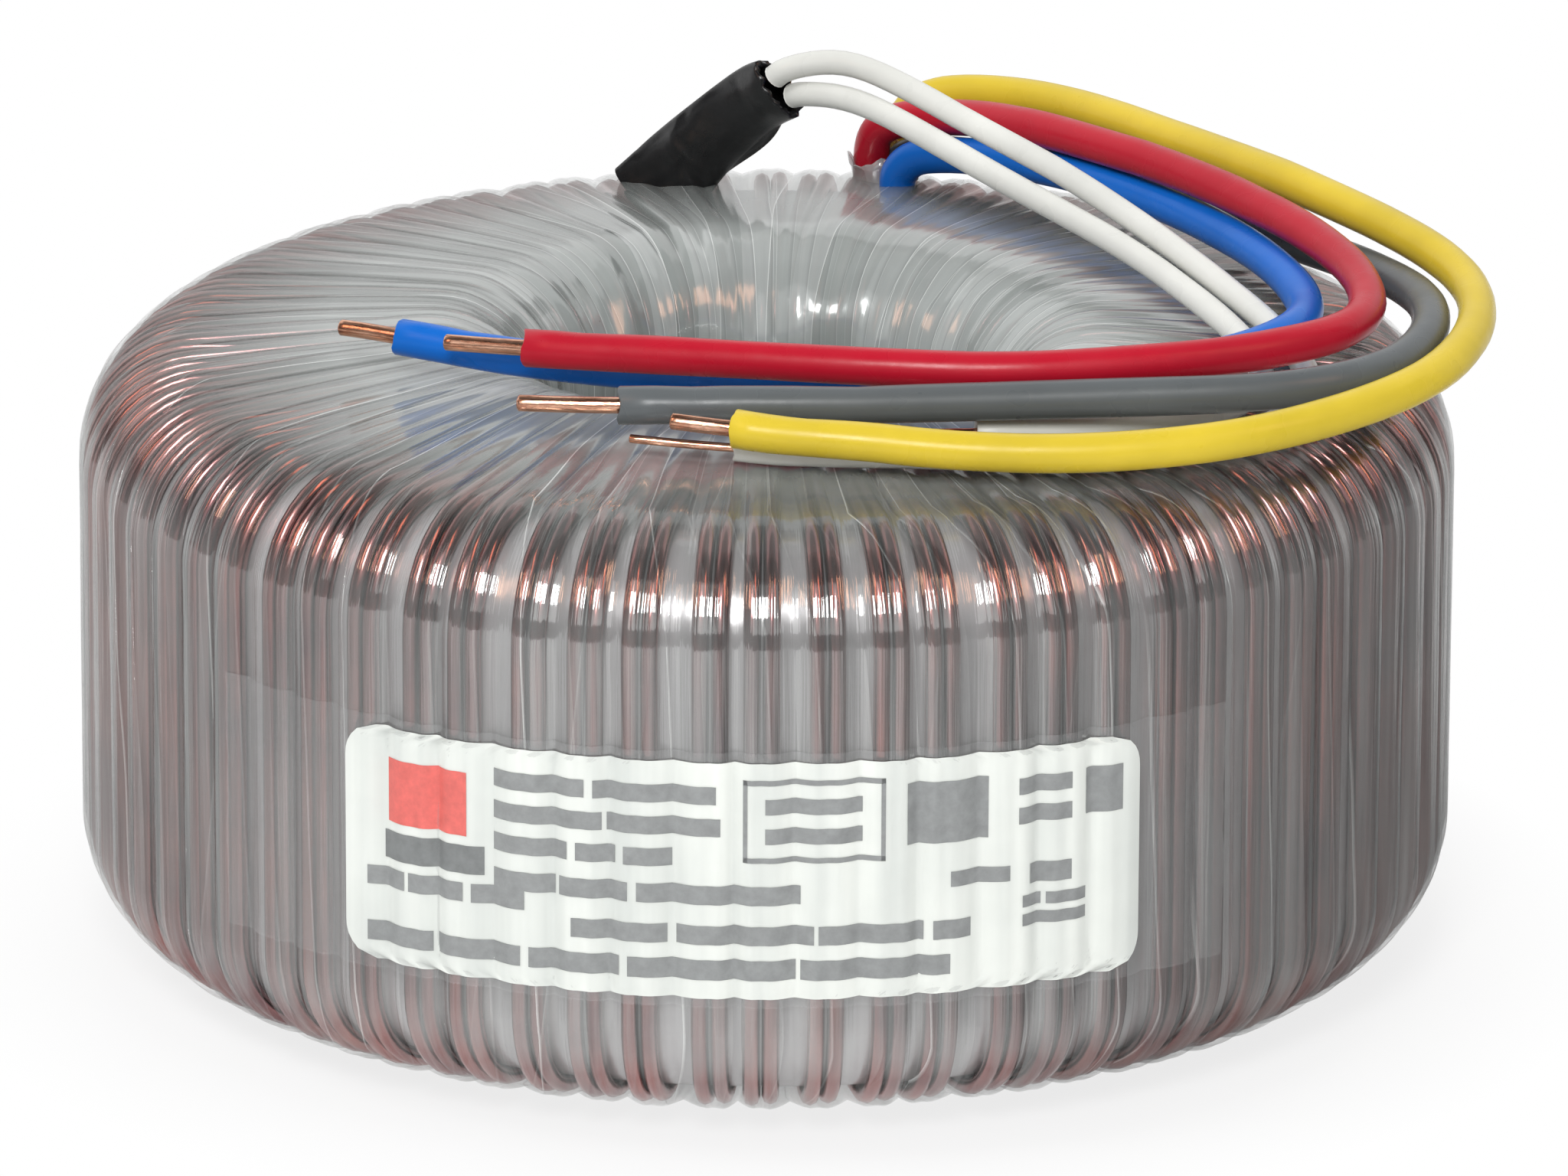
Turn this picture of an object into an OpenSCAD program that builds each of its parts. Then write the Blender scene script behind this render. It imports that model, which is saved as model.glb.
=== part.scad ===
// Toroidal mains transformer: wound strip core, primary, two bifilar secondaries,
// clear ribbed film wrap, label and six flying leads. Millimetres, +Z up.
// The origin is the centre of the face that it stands on, and the label faces -Y.

/* [Body] */
// Diameter over the film wrap
body_d = 135; // [131:1:150]
// Height from crest to crest
body_h = 63; // [56:1:80]
// Diameter of the centre hole at its waist
hole_d = 44; // [43:1:50]
// Radius of the film round the outer shoulders
shoulder_r = 12; // [11:0.5:14]
// Radius of the film where it rolls into the hole
rim_r = 11; // [10:0.5:13]

/* [Secondary windings] */
// Turns of each secondary
turns = 72; // [60:1:76]
// Diameter of the enamelled secondary wire
wire_d = 1.7; // [1.5:0.05:1.75]
// Distance between the two wires of a pair on the outer wall
pair_pitch = 1.8; // [1.75:0.05:1.9]
// How far a pair strays from its even place, in degrees
stray = 0.45; // [0:0.05:0.6]

/* [Film wrap] */
// Thickness of the film layers
film_t = 0.35; // [0.2:0.05:0.5]
// Depth of the groove that the film forms between two pairs
groove_depth = 0.8; // [0:0.1:1]
// Half width of a film rib over a pair
rib_half_w = 1.6; // [1.5:0.05:1.7]

/* [Insulation and primary] */
// Thickness of the tape between primary and secondaries
tape_t = 0.5; // [0.3:0.1:1]
// Thickness of the primary winding at the outer wall
primary_wall_t = 1.5; // [1:0.1:2.5]
// Thickness of the primary winding on the two faces
primary_face_t = 2.2; // [1.5:0.1:3]
// Thickness of the primary winding in the hole
primary_hole_t = 3.5; // [2.5:0.1:4.5]
// Wall of the two moulded caps that box the core
cap_t = 1; // [0.8:0.1:1.5]
// Gap between the rims of the two caps
cap_gap = 0.6; // [0.2:0.1:2]

/* [Label] */
// Height of the label
label_h = 23.5; // [15:0.5:28]
// Height of the label's lower edge above the standing face
label_z = 16.5; // [14:0.5:20]
// Thickness of the paper label
label_t = 0.12; // [0.08:0.01:0.2]
// Corner radius of the label
label_corner_r = 3.5; // [1:0.5:6]
// Thickness of the clear tape under the label
strip_t = 0.1; // [0.05:0.01:0.15]
// How far the clear tape reaches above and below the label
strip_margin = 1; // [0.5:0.5:3]

/* [Leads] */
// Outer diameter of the red, blue and grey leads
lead_d = 3.7; // [3.2:0.1:3.8]
// Outer diameter of the yellow lead
yellow_d = 3.8; // [3.2:0.1:4]
// Outer diameter of the white primary leads
white_d = 2.5; // [2:0.1:2.6]
// Diameter of the bared secondary ends
tip_d = 1.6; // [1.2:0.1:1.7]
// Diameter of the bared primary ends
white_tip_d = 0.85; // [0.6:0.05:1]
// Width of the flattened sleeve over the primary leads
sleeve_w = 6.6; // [6:0.2:8]
// Thickness of the flattened sleeve
sleeve_t = 3.6; // [3:0.2:4.5]
// Length of the taped root of the secondary leads
root_len = 3.2; // [2:0.2:5]
// Thickness of the tape round each lead in that root
root_wrap = 0.4; // [0.2:0.1:0.8]

/* [Hidden] */
$fn = 96;

// Running clearances
lay_gap = 0.15;    // film to wire, where the film is drawn over the turns
seat_gap = 0.05;   // between one wound layer and the next
lead_gap = 0.4;    // end of a lead to the piece it comes out of

mid_z = body_h / 2;
body_r = body_d / 2;
hole_r = hole_d / 2;

// The wires of a pair lie side by side on the wall and one above the other by the hole,
// so the faces rise by one layer from shoulder to crest
layer = wire_d + seat_gap;
crest_rise = layer;
wall_wire_r = body_r - film_t - lay_gap - wire_d / 2;
hole_wire_r_a = hole_r + film_t + lay_gap + wire_d / 2;
hole_wire_r_b = hole_wire_r_a + layer;
face_wire_z = mid_z - crest_rise - film_t - lay_gap - wire_d / 2;
crest_wire_z = face_wire_z + layer;
shoulder_bend = shoulder_r - film_t - lay_gap - wire_d / 2;
rim_bend_a = rim_r - film_t - lay_gap - wire_d / 2;
rim_bend_b = rim_bend_a - layer;

// Angles of the pairs round the ring
pitch = 360 / turns;
golden_angle = 137.5;
function pair_angle(i) = i * pitch + stray * sin(i * golden_angle);
rib_half = asin(rib_half_w / body_r);

// ---------- helpers ----------

function unit(v) = v / norm(v);
function polar(r, a, z) = [r * cos(a), r * sin(a), z];

// Places children with their z axis along w and their x axis near u
module along(origin, w, u) {
  z = unit(w);
  y = unit(cross(z, u));
  x = cross(y, z);
  multmatrix([[x[0], y[0], z[0], origin[0]], [x[1], y[1], z[1], origin[1]],
    [x[2], y[2], z[2], origin[2]], [0, 0, 0, 1]]) children();
}

// Corner i of a closed path with all its edges moved outwards by e
function moved_corner(path, i, e) = let(n = len(path),
  u = unit(path[i] - path[(i + n - 1) % n]),
  v = unit(path[(i + 1) % n] - path[i]),
  side_u = [u[1], -u[0]],
  side_v = [v[1], -v[0]],
  k = e * (side_v - side_u) * side_v / (u * side_v))
  path[i] + e * side_u + k * u;

// A closed path with bend radius bends[i] at corner i, grown by e
module bent_loop(path, bends, e) {
  n = len(path);
  c = [for (i = [0:n - 1]) moved_corner(path, i, e)];
  u = [for (i = [0:n - 1]) unit(c[i] - c[(i + n - 1) % n])];
  r = [for (i = [0:n - 1]) bends[i] == 0 ? 0 : bends[i] + e];
  reach = [for (i = [0:n - 1]) r[i] * tan(acos(min(1, u[i] * u[(i + 1) % n])) / 2)];
  union() {
    polygon([for (i = [0:n - 1]) each bends[i] == 0 ? [c[i]] :
      [c[i] - reach[i] * u[i], c[i] + reach[i] * u[(i + 1) % n]]]);
    for (i = [0:n - 1])
      if (bends[i] > 0)
        translate(c[i] - reach[i] * u[i] - r[i] * [u[i][1], -u[i][0]]) circle(r[i]);
  }
}

// A closed turn of wire of square section d, in the plane of its path of [radius, height]
module wire_turn(path, bends, d) {
  rotate([90, 0, 0]) translate([0, 0, -d / 2]) linear_extrude(d) difference() {
    bent_loop(path, bends, d / 2);
    bent_loop(path, bends, -d / 2);
  }
}

// Rounded section of a ring: outer corners of radius c_out, hole side corners of radius c_in
module ring_section(r_in, r_out, half_h, c_in, c_out) {
  union() {
    polygon([[r_out - c_out, -half_h], [r_out, c_out - half_h], [r_out, half_h - c_out],
      [r_out - c_out, half_h], [r_in + c_in, half_h], [r_in, half_h - c_in],
      [r_in, c_in - half_h], [r_in + c_in, -half_h]]);
    for (s = [-1, 1]) {
      translate([r_out - c_out, s * (half_h - c_out)]) circle(c_out);
      translate([r_in + c_in, s * (half_h - c_in)]) circle(c_in);
    }
  }
}

// ---------- core, its insulation and the primary ----------

tape_in = hole_wire_r_b + wire_d / 2 + seat_gap;
tape_out = wall_wire_r - wire_d / 2 - seat_gap;
tape_half = face_wire_z - wire_d / 2 - seat_gap;
tape_c_in = rim_bend_b - wire_d / 2 - seat_gap;
tape_c_out = shoulder_bend - wire_d / 2 - seat_gap;

primary_in = tape_in + tape_t;
primary_out = tape_out - tape_t;
primary_half = tape_half - tape_t;

cap_in = primary_in + primary_hole_t;
cap_out = primary_out - primary_wall_t;
cap_half = primary_half - primary_face_t;
cap_c_in = 3;
cap_c_out = 4;

core_corner = 1.5;
core_in = cap_in + cap_t;
core_out = cap_out - cap_t;
core_half = cap_half - cap_t;

module core() {
  color([0.34, 0.36, 0.4]) translate([0, 0, mid_z]) rotate_extrude()
    ring_section(core_in, core_out, core_half, core_corner, core_corner);
}

module core_cap() {
  rotate_extrude() difference() {
    ring_section(cap_in, cap_out, cap_half, cap_c_in, cap_c_out);
    ring_section(core_in, core_out, core_half, core_corner, core_corner);
    translate([cap_in - 1, cap_gap / 2 - cap_half - 1])
      square([cap_out - cap_in + 2, cap_half + 1]);
  }
}

module core_cap_top() {
  color([0.85, 0.83, 0.76]) translate([0, 0, mid_z]) core_cap();
}

module core_cap_bottom() {
  color([0.85, 0.83, 0.76]) translate([0, 0, mid_z]) mirror([0, 0, 1]) core_cap();
}

module primary_winding() {
  color([0.62, 0.3, 0.16]) translate([0, 0, mid_z]) rotate_extrude() difference() {
    ring_section(primary_in, primary_out, primary_half, tape_c_in - tape_t, tape_c_out - tape_t);
    ring_section(cap_in, cap_out, cap_half, cap_c_in, cap_c_out);
  }
}

module interwinding_tape() {
  color([0.5, 0.47, 0.48]) translate([0, 0, mid_z]) rotate_extrude() difference() {
    ring_section(tape_in, tape_out, tape_half, tape_c_in, tape_c_out);
    ring_section(primary_in, primary_out, primary_half, tape_c_in - tape_t, tape_c_out - tape_t);
  }
}

// ---------- bifilar secondaries ----------

// The section of a turn is a square with nearly the copper area of the round wire
strand = 0.82 * wire_d;

// Inside this radius there is no room for all the wires side by side, so from the
// shoulder on wire a climbs until it lies over wire b
narrowest_step = pitch - 2 * stray;
room_r = 2 * (strand + seat_gap / 2) / (narrowest_step * PI / 180);
shoulder_end_r = body_r - shoulder_r * 0.8;
climb = (strand + seat_gap) / (shoulder_end_r - room_r);
lapped_r = shoulder_end_r - layer / climb;
shoulder_wire_z_a = face_wire_z - climb * (wall_wire_r - shoulder_end_r);

// Seen from above, the two wires of a pair draw together towards the hole
lean = atan((pair_pitch / 2 - (strand + seat_gap / 2) / 2) / (wall_wire_r - room_r));
axis_offset = pair_pitch / 2 - wall_wire_r * tan(lean);

// A secondary: side is -1 or 1 for the first or second wire of each pair
module secondary(side, path, bends) {
  for (i = [0:turns - 1])
    rotate([0, 0, pair_angle(i)]) translate([0, side * axis_offset, mid_z])
      rotate([0, 0, side * lean]) wire_turn(path, bends, strand);
}

module secondary_winding_a() {
  color([0.55, 0.22, 0.13]) secondary(-1, [
    [wall_wire_r, -shoulder_wire_z_a], [wall_wire_r, shoulder_wire_z_a],
    [lapped_r, crest_wire_z], [hole_wire_r_a, crest_wire_z],
    [hole_wire_r_a, -crest_wire_z], [lapped_r, -crest_wire_z]],
    [shoulder_bend, shoulder_bend, 0, rim_bend_a, rim_bend_a, 0]);
}

module secondary_winding_b() {
  color([0.48, 0.19, 0.12]) secondary(1, [
    [wall_wire_r, -face_wire_z], [wall_wire_r, face_wire_z],
    [hole_wire_r_b, face_wire_z], [hole_wire_r_b, -face_wire_z]],
    [shoulder_bend, shoulder_bend, rim_bend_b, rim_bend_b]);
}

// ---------- film wrap ----------

// Each pair gives three columns of the film: both edges of its rib, and the groove after it
function column_angle(j) = let(i = floor(j / 3), part = j % 3)
  part == 0 ? pair_angle(i) - rib_half :
  part == 1 ? pair_angle(i) + rib_half : (pair_angle(i) + pair_angle(i + 1)) / 2;
function column_groove(j) = j % 3 == 2 ? groove_depth : 0;

// Facets of the rounded shoulders and rims stay outside their true arcs
shoulder_step = 22.5;
rim_step = 30;
face_mid_r = (body_r - shoulder_r + hole_r + rim_r) / 2;
crest_r = hole_r + rim_r + 3;

// Section rings of the film as [radius, height over mid, groove direction], from the
// lower face round the outside to the upper face, for the surface at depth t in the film
function shoulder_ring(a, t, up) = let(r = (shoulder_r - t) / cos(shoulder_step / 2),
  fade = a < 60 ? 1 : 0.75)
  [body_r - shoulder_r + r * cos(a), up * (mid_z - crest_rise - shoulder_r + r * sin(a)),
   [fade * cos(a), fade * up * sin(a)]];
function face_ring(t, up) =
  let(edge = shoulder_ring(90 - shoulder_step / 2, 0, 1))
  let(share = (face_mid_r - crest_r) / (edge[0] - crest_r))
  [face_mid_r, up * (mid_z - crest_rise * share - t), [0, up * 0.4]];
function ribbed_rings(t) = concat([face_ring(t, -1)],
  [for (k = [3:-1:0]) shoulder_ring((k + 0.5) * shoulder_step, t, -1)],
  [for (k = [0:3]) shoulder_ring((k + 0.5) * shoulder_step, t, 1)], [face_ring(t, 1)]);

// Section rings of the smooth part, from the upper crest through the hole to the lower crest
function rim_ring(a, t, up) = let(r = (rim_r - t) / cos(rim_step / 2))
  [hole_r + rim_r - r * sin(a), up * (mid_z - rim_r + r * cos(a))];
function smooth_rings(t) = concat([[crest_r, mid_z - t]],
  [for (k = [0:2]) rim_ring((k + 0.5) * rim_step, t, 1)],
  [for (k = [2:-1:0]) rim_ring((k + 0.5) * rim_step, t, -1)], [[crest_r, t - mid_z]]);

ribbed_n = 10;
smooth_n = 8;
columns = 3 * turns;
surface_n = ribbed_n * columns + smooth_n * turns;

function film_points(t) = concat(
  [for (ring = ribbed_rings(t)) for (j = [0:columns - 1])
    polar(ring[0] - column_groove(j) * ring[2][0], column_angle(j),
      mid_z + ring[1] - column_groove(j) * ring[2][1])],
  [for (ring = smooth_rings(t)) for (i = [0:turns - 1]) polar(ring[0], i * pitch, mid_z + ring[1])]);

function ribbed_i(k, j) = k * columns + j % columns;
function smooth_i(k, i) = ribbed_n * columns + k * turns + i % turns;

// Where the leads come out of the upper face: columns [first, last] of the last ribbed band
exits = [[46, 52], [58, 64]];
function is_exit(k, j) =
  k == ribbed_n - 2 && len([for (e = exits) if (j >= e[0] && j < e[1]) 1]) > 0;

function film_faces() = concat(
  [for (k = [0:ribbed_n - 2]) for (j = [0:columns - 1]) if (!is_exit(k, j))
    each [[ribbed_i(k, j), ribbed_i(k + 1, j), ribbed_i(k + 1, j + 1)],
      [ribbed_i(k, j), ribbed_i(k + 1, j + 1), ribbed_i(k, j + 1)]]],
  [for (k = [0:smooth_n - 2]) for (i = [0:turns - 1])
    each [[smooth_i(k, i), smooth_i(k + 1, i), smooth_i(k + 1, i + 1)],
      [smooth_i(k, i), smooth_i(k + 1, i + 1), smooth_i(k, i + 1)]]],
  [for (i = [0:turns - 1]) let(k = ribbed_n - 1, j = 3 * i)
    each [[ribbed_i(k, j), smooth_i(0, i), ribbed_i(k, j + 1)],
      [ribbed_i(k, j + 1), smooth_i(0, i), ribbed_i(k, j + 2)],
      [ribbed_i(k, j + 2), smooth_i(0, i), smooth_i(0, i + 1)],
      [ribbed_i(k, j + 2), smooth_i(0, i + 1), ribbed_i(k, j + 3)]]],
  [for (i = [0:turns - 1]) let(k = smooth_n - 1, j = 3 * i)
    each [[ribbed_i(0, j), ribbed_i(0, j + 1), smooth_i(k, i)],
      [ribbed_i(0, j + 1), ribbed_i(0, j + 2), smooth_i(k, i)],
      [ribbed_i(0, j + 2), smooth_i(k, i + 1), smooth_i(k, i)],
      [ribbed_i(0, j + 2), ribbed_i(0, j + 3), smooth_i(k, i + 1)]]]);

// The strip that joins outer and inner surface round the boundary loop of one exit
function exit_loop(e) = let(k = ribbed_n - 2) concat(
  [for (j = [e[0]:e[1]]) ribbed_i(k, j)],
  [for (j = [e[1]:-1:e[0]]) ribbed_i(k + 1, j)]);
function loop_faces(loop, n) = [for (m = [0:len(loop) - 1]) let(
  a = loop[m], b = loop[(m + 1) % len(loop)])
  each [[b, a, a + n], [b, a + n, b + n]]];

module film_wrap() {
  outer = film_faces();
  inner = [for (f = outer) [f[2] + surface_n, f[1] + surface_n, f[0] + surface_n]];
  color([0.75, 0.77, 0.78]) polyhedron(
    points = concat(film_points(0), film_points(film_t)),
    faces = concat(outer, inner, [for (e = exits) each loop_faces(exit_loop(e), surface_n)]));
}

// ---------- label ----------

// A sheet that follows the ribs of the wall, from column j0 to column j1, between
// two depths under the film's outer face
module ribbed_sheet(j0, j1, z0, z1, depth0, depth1) {
  n = j1 - j0 + 1;
  function p(j, z, depth) = polar(body_r - depth - column_groove(j), column_angle(j), z);
  points = [for (row = [[z0, depth0], [z1, depth0], [z0, depth1], [z1, depth1]])
    for (j = [j0:j1]) p(j, row[0], row[1])];
  strips = [[0, 1], [3, 2], [1, 3], [2, 0]];
  polyhedron(points = points, faces = concat(
    [for (s = strips) for (m = [0:n - 2]) each [
      [s[0] * n + m, s[1] * n + m, s[1] * n + m + 1],
      [s[0] * n + m, s[1] * n + m + 1, s[0] * n + m + 1]]],
    [[0, 2 * n, 3 * n], [0, 3 * n, n]],
    [[n - 1, 2 * n - 1, 4 * n - 1], [n - 1, 4 * n - 1, 3 * n - 1]]));
}

label_j = [141, 181];
strip_j = [132, 187];
label_depth = film_t + seat_gap / 2;
strip_depth = label_depth + label_t;

module label() {
  edge0 = body_r * sin(column_angle(label_j[0]) - 270);
  edge1 = body_r * sin(column_angle(label_j[1]) - 270);
  color([0.86, 0.89, 0.85]) intersection() {
    ribbed_sheet(label_j[0], label_j[1], label_z, label_z + label_h,
      label_depth, label_depth + label_t);
    translate([0, 0, label_z]) rotate([90, 0, 0]) linear_extrude(body_d) union() {
      translate([edge0 + label_corner_r, -1])
        square([edge1 - edge0 - 2 * label_corner_r, label_h + 2]);
      translate([edge0 - 1, label_corner_r])
        square([edge1 - edge0 + 2, label_h - 2 * label_corner_r]);
      for (x = [edge0 + label_corner_r, edge1 - label_corner_r])
        for (z = [label_corner_r, label_h - label_corner_r])
          translate([x, z]) circle(label_corner_r);
    }
  }
}

module label_tape() {
  color([0.62, 0.63, 0.64]) ribbed_sheet(strip_j[0], strip_j[1], label_z - strip_margin,
    label_z + label_h + strip_margin, strip_depth, strip_depth + strip_t);
}

// ---------- leads ----------

// Routes of the leads, chosen by hand, from the exit to the cut end of the sleeving
red_route = [[10, 55, 66.8], [11.4, 54.8, 67], [17, 52, 68.2], [25, 43, 70.4], [34, 31.5, 71], [43, 19.5, 71.4],
  [51, 7, 71.2], [57, -7, 70.2], [58, -17, 69.4], [54.5, -25, 69.2], [46.5, -30.5, 69],
  [36, -34, 69], [24, -36, 69], [10, -35, 69], [-7, -31, 68.6], [-23, -27, 68.2]];
blue_route = [[10, 51.5, 63.8], [11.4, 51.3, 64], [17, 49, 65], [25, 42.5, 66.2], [33, 33.5, 67], [41, 22.5, 67.3],
  [47, 11, 67.4], [51, 0, 67.2], [52.5, -9, 67], [50.5, -17.5, 67], [44.5, -23, 66.4],
  [35, -25.5, 65.6], [22, -26.5, 65.3], [6, -27, 65.2], [-10, -25.5, 65.2], [-23, -22.5, 65.5],
  [-35.5, -18, 66.5]];
yellow_route = [[10, 60, 67], [11.4, 60, 67.2], [18.5, 59, 68.6], [28, 52.5, 70], [37.5, 40, 71],
  [46.5, 26.5, 71.3], [55, 14, 71.2], [63, 2.5, 70.6], [68, -8, 69.4], [68.5, -19, 68.2],
  [64, -31, 67], [55, -40.5, 66.2], [44, -46.5, 65.5], [31, -49.2, 65], [18, -49.2, 65.1],
  [7, -48.5, 65.9], [-3, -47, 66.5]];
grey_route = [[10, 56.5, 63.5], [11.4, 56.3, 63.6], [19, 53.5, 63.9], [28, 46.5, 64.6], [37, 36.5, 65.2],
  [46, 25, 65.8], [54, 13, 66.4], [60.5, 1, 67.2], [64, -11, 67.8], [63.5, -22, 68],
  [58.5, -32, 67.8], [49, -37.5, 67.6], [36, -39, 67.3], [22, -40, 67.1], [6, -41.5, 67.1],
  [-14, -42, 67.2]];
white_1_route = [[2.5, 41.8, 73.4], [3.5, 40.8, 73.9], [7.6, 37.6, 74.5], [14, 31, 73.4], [22, 22, 71.2],
  [30, 12, 69.5], [37.5, 3, 67.6], [43, -5, 65.6], [47, -14, 64], [47.5, -23.5, 63.4],
  [42.5, -31.5, 63.3], [33, -36.5, 63.4], [20, -39, 63.7]];
white_2_route = [[0.7, 41.7, 75.4], [1.7, 41.1, 76.3], [7.6, 40.3, 77.4], [15, 35, 75.8], [23, 26.5, 73.6],
  [31, 16.5, 71.6], [39, 6, 69.2], [45.5, -2.5, 66.6], [50.5, -12, 64.2], [52.5, -24, 62.9],
  [46.5, -36, 62.8], [35, -43, 62.95], [22, -45.8, 63.25], [9, -45.8, 63.5], [-3, -44.8, 63.9]];

// Lengths of bared wire
red_bare = 8;
blue_bare = 6;
yellow_bare = 6;
grey_bare = 9.5;
white_bare = 10;

function route_dir(p, i) = unit(p[min(i + 1, len(p) - 1)] - p[max(i - 1, 0)]);

// Rings of oval section along a route: their width w lies across the side direction
function swept_rings(p, w, t, side, sides) = [for (i = [0:len(p) - 1])
  let(d = route_dir(p, i), y = unit(cross(d, side)), x = cross(y, d))
  [for (k = [0:sides - 1]) let(a = k * 360 / sides) p[i] + w / 2 * cos(a) * x + t / 2 * sin(a) * y]];

// A closed skin over rings with the same number of points
module skin_rings(rings) {
  n = len(rings);
  sides = len(rings[0]);
  polyhedron(points = [for (ring = rings) each ring], faces = concat(
    [[for (k = [0:sides - 1]) k]], [[for (k = [sides - 1:-1:0]) (n - 1) * sides + k]],
    [for (i = [0:n - 2]) for (k = [0:sides - 1]) let(m = (k + 1) % sides)
      each [[i * sides + k, (i + 1) * sides + k, (i + 1) * sides + m],
        [i * sides + k, (i + 1) * sides + m, i * sides + m]]]));
}

module lead(route, d) skin_rings(swept_rings(route, d, d, [0, 0, 1], 8));

// Bared end of a lead: plain wire with a chamfered cut
module tip(route, d, bare) {
  end = route[len(route) - 1];
  along(end, route_dir(route, len(route) - 1), [0, 0, 1]) union() {
    cylinder(h = bare - d / 4, d = d, $fn = 24);
    translate([0, 0, bare - d / 4]) cylinder(h = d / 4, d1 = d, d2 = d / 2, $fn = 24);
  }
}

module lead_white_1() { color([0.96, 0.96, 0.94]) lead(white_1_route, white_d); }
module lead_white_2() { color([0.96, 0.96, 0.94]) lead(white_2_route, white_d); }
module lead_red() { color([0.82, 0.08, 0.14]) lead(red_route, lead_d); }
module lead_blue() { color([0.05, 0.35, 0.75]) lead(blue_route, lead_d); }
module lead_yellow() { color([0.93, 0.8, 0.1]) lead(yellow_route, yellow_d); }
module lead_grey() { color([0.36, 0.38, 0.39]) lead(grey_route, lead_d); }
module tip_white_1() { color([0.72, 0.4, 0.25]) tip(white_1_route, white_tip_d, white_bare); }
module tip_white_2() { color([0.72, 0.4, 0.25]) tip(white_2_route, white_tip_d, white_bare); }
module tip_red() { color([0.72, 0.4, 0.25]) tip(red_route, tip_d, red_bare); }
module tip_blue() { color([0.72, 0.4, 0.25]) tip(blue_route, tip_d, blue_bare); }
module tip_yellow() { color([0.72, 0.4, 0.25]) tip(yellow_route, tip_d, yellow_bare); }
module tip_grey() { color([0.72, 0.4, 0.25]) tip(grey_route, tip_d, grey_bare); }

// Flattened heat-shrink sleeve from the film's opening to the white leads
sleeve_route = [[-10.5, 50.1, 61.5], [-6, 47.3, 66.4], [-2.5, 44.8, 70.3], [0, 42.9, 73],
  [1.4, 41.9, 74.2]];

// Its foot is cut level, to stand on the winding
module primary_sleeve() {
  side = [0.7, 0, -0.7];
  rings = swept_rings(sleeve_route, sleeve_w, sleeve_t, side, 12);
  d = route_dir(sleeve_route, 0);
  foot = [for (v = rings[0]) v + (sleeve_route[0][2] - v[2]) / d[2] * d];
  color([0.06, 0.06, 0.07]) skin_rings([for (i = [0:len(rings) - 1]) i == 0 ? foot : rings[i]]);
}

// Clear tape round the root of the four secondary leads
module lead_root_tape() {
  roots = [[red_route[0], lead_d], [blue_route[0], lead_d], [yellow_route[0], yellow_d],
    [grey_route[0], lead_d]];
  color([0.7, 0.74, 0.74]) translate([red_route[0][0] - lead_gap - root_len, 0, 0])
    rotate([90, 0, 90]) linear_extrude(root_len) union() {
      for (root = roots)
        translate([root[0][1], root[0][2]]) circle(d = root[1] + 2 * root_wrap);
      polygon([for (i = [0, 1, 3, 2]) [roots[i][0][1], roots[i][0][2]]]);
    }
}

core();
core_cap_top();
core_cap_bottom();
primary_winding();
interwinding_tape();
secondary_winding_a();
secondary_winding_b();
film_wrap();
label_tape();
label();
primary_sleeve();
lead_root_tape();
lead_white_1();
lead_white_2();
lead_red();
lead_blue();
lead_yellow();
lead_grey();
tip_white_1();
tip_white_2();
tip_red();
tip_blue();
tip_yellow();
tip_grey();
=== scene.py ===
import math

import bpy
import numpy as np
from mathutils import Matrix, Vector


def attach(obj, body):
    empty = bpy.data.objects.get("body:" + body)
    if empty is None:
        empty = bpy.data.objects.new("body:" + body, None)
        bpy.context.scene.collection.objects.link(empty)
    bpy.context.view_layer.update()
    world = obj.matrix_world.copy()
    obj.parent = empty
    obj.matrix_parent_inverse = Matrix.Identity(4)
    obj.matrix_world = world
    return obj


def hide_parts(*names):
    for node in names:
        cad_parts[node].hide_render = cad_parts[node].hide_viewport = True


# Toroidal transformer: see-through ribbed film over paired copper turns, six leads on top.
# Lengths are in millimetres and angles in degrees, and new_mesh turns millimetres into metres.
MM = 0.001
WHITE = (1.0, 1.0, 1.0)

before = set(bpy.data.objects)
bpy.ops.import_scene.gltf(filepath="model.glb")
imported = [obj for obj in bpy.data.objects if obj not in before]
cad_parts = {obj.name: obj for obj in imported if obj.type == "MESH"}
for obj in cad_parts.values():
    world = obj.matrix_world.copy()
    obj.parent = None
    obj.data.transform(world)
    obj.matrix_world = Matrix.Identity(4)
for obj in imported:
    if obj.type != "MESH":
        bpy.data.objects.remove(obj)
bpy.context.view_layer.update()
scene = bpy.context.scene

# ---------------- camera
CAM_DISTANCE = 1405.0
CAM_ELEVATION = math.radians(18.39)
CAM_AIM_Z = 31.5
CAM_ROLL = math.radians(0.2)
CAM_SENSOR = 36.0
CAM_FOCAL_TO_WIDTH = 9.09521
CAM_SHIFT = (0.01147, 0.02241)


def make_camera():
    data = bpy.data.cameras.new("camera")
    cam = bpy.data.objects.new("camera", data)
    scene.collection.objects.link(cam)
    back, up = CAM_DISTANCE * math.cos(CAM_ELEVATION), CAM_DISTANCE * math.sin(CAM_ELEVATION)
    cam.location = (0, -back * MM, (CAM_AIM_Z + up) * MM)
    look = Matrix.Rotation(math.pi / 2 - CAM_ELEVATION, 4, "X") @ Matrix.Rotation(CAM_ROLL, 4, "Z")
    cam.rotation_euler = look.to_euler()
    data.sensor_width = CAM_SENSOR
    data.lens = CAM_FOCAL_TO_WIDTH * CAM_SENSOR
    data.shift_x, data.shift_y = CAM_SHIFT
    data.clip_start, data.clip_end = 0.05, 50
    scene.camera = cam


make_camera()


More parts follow.
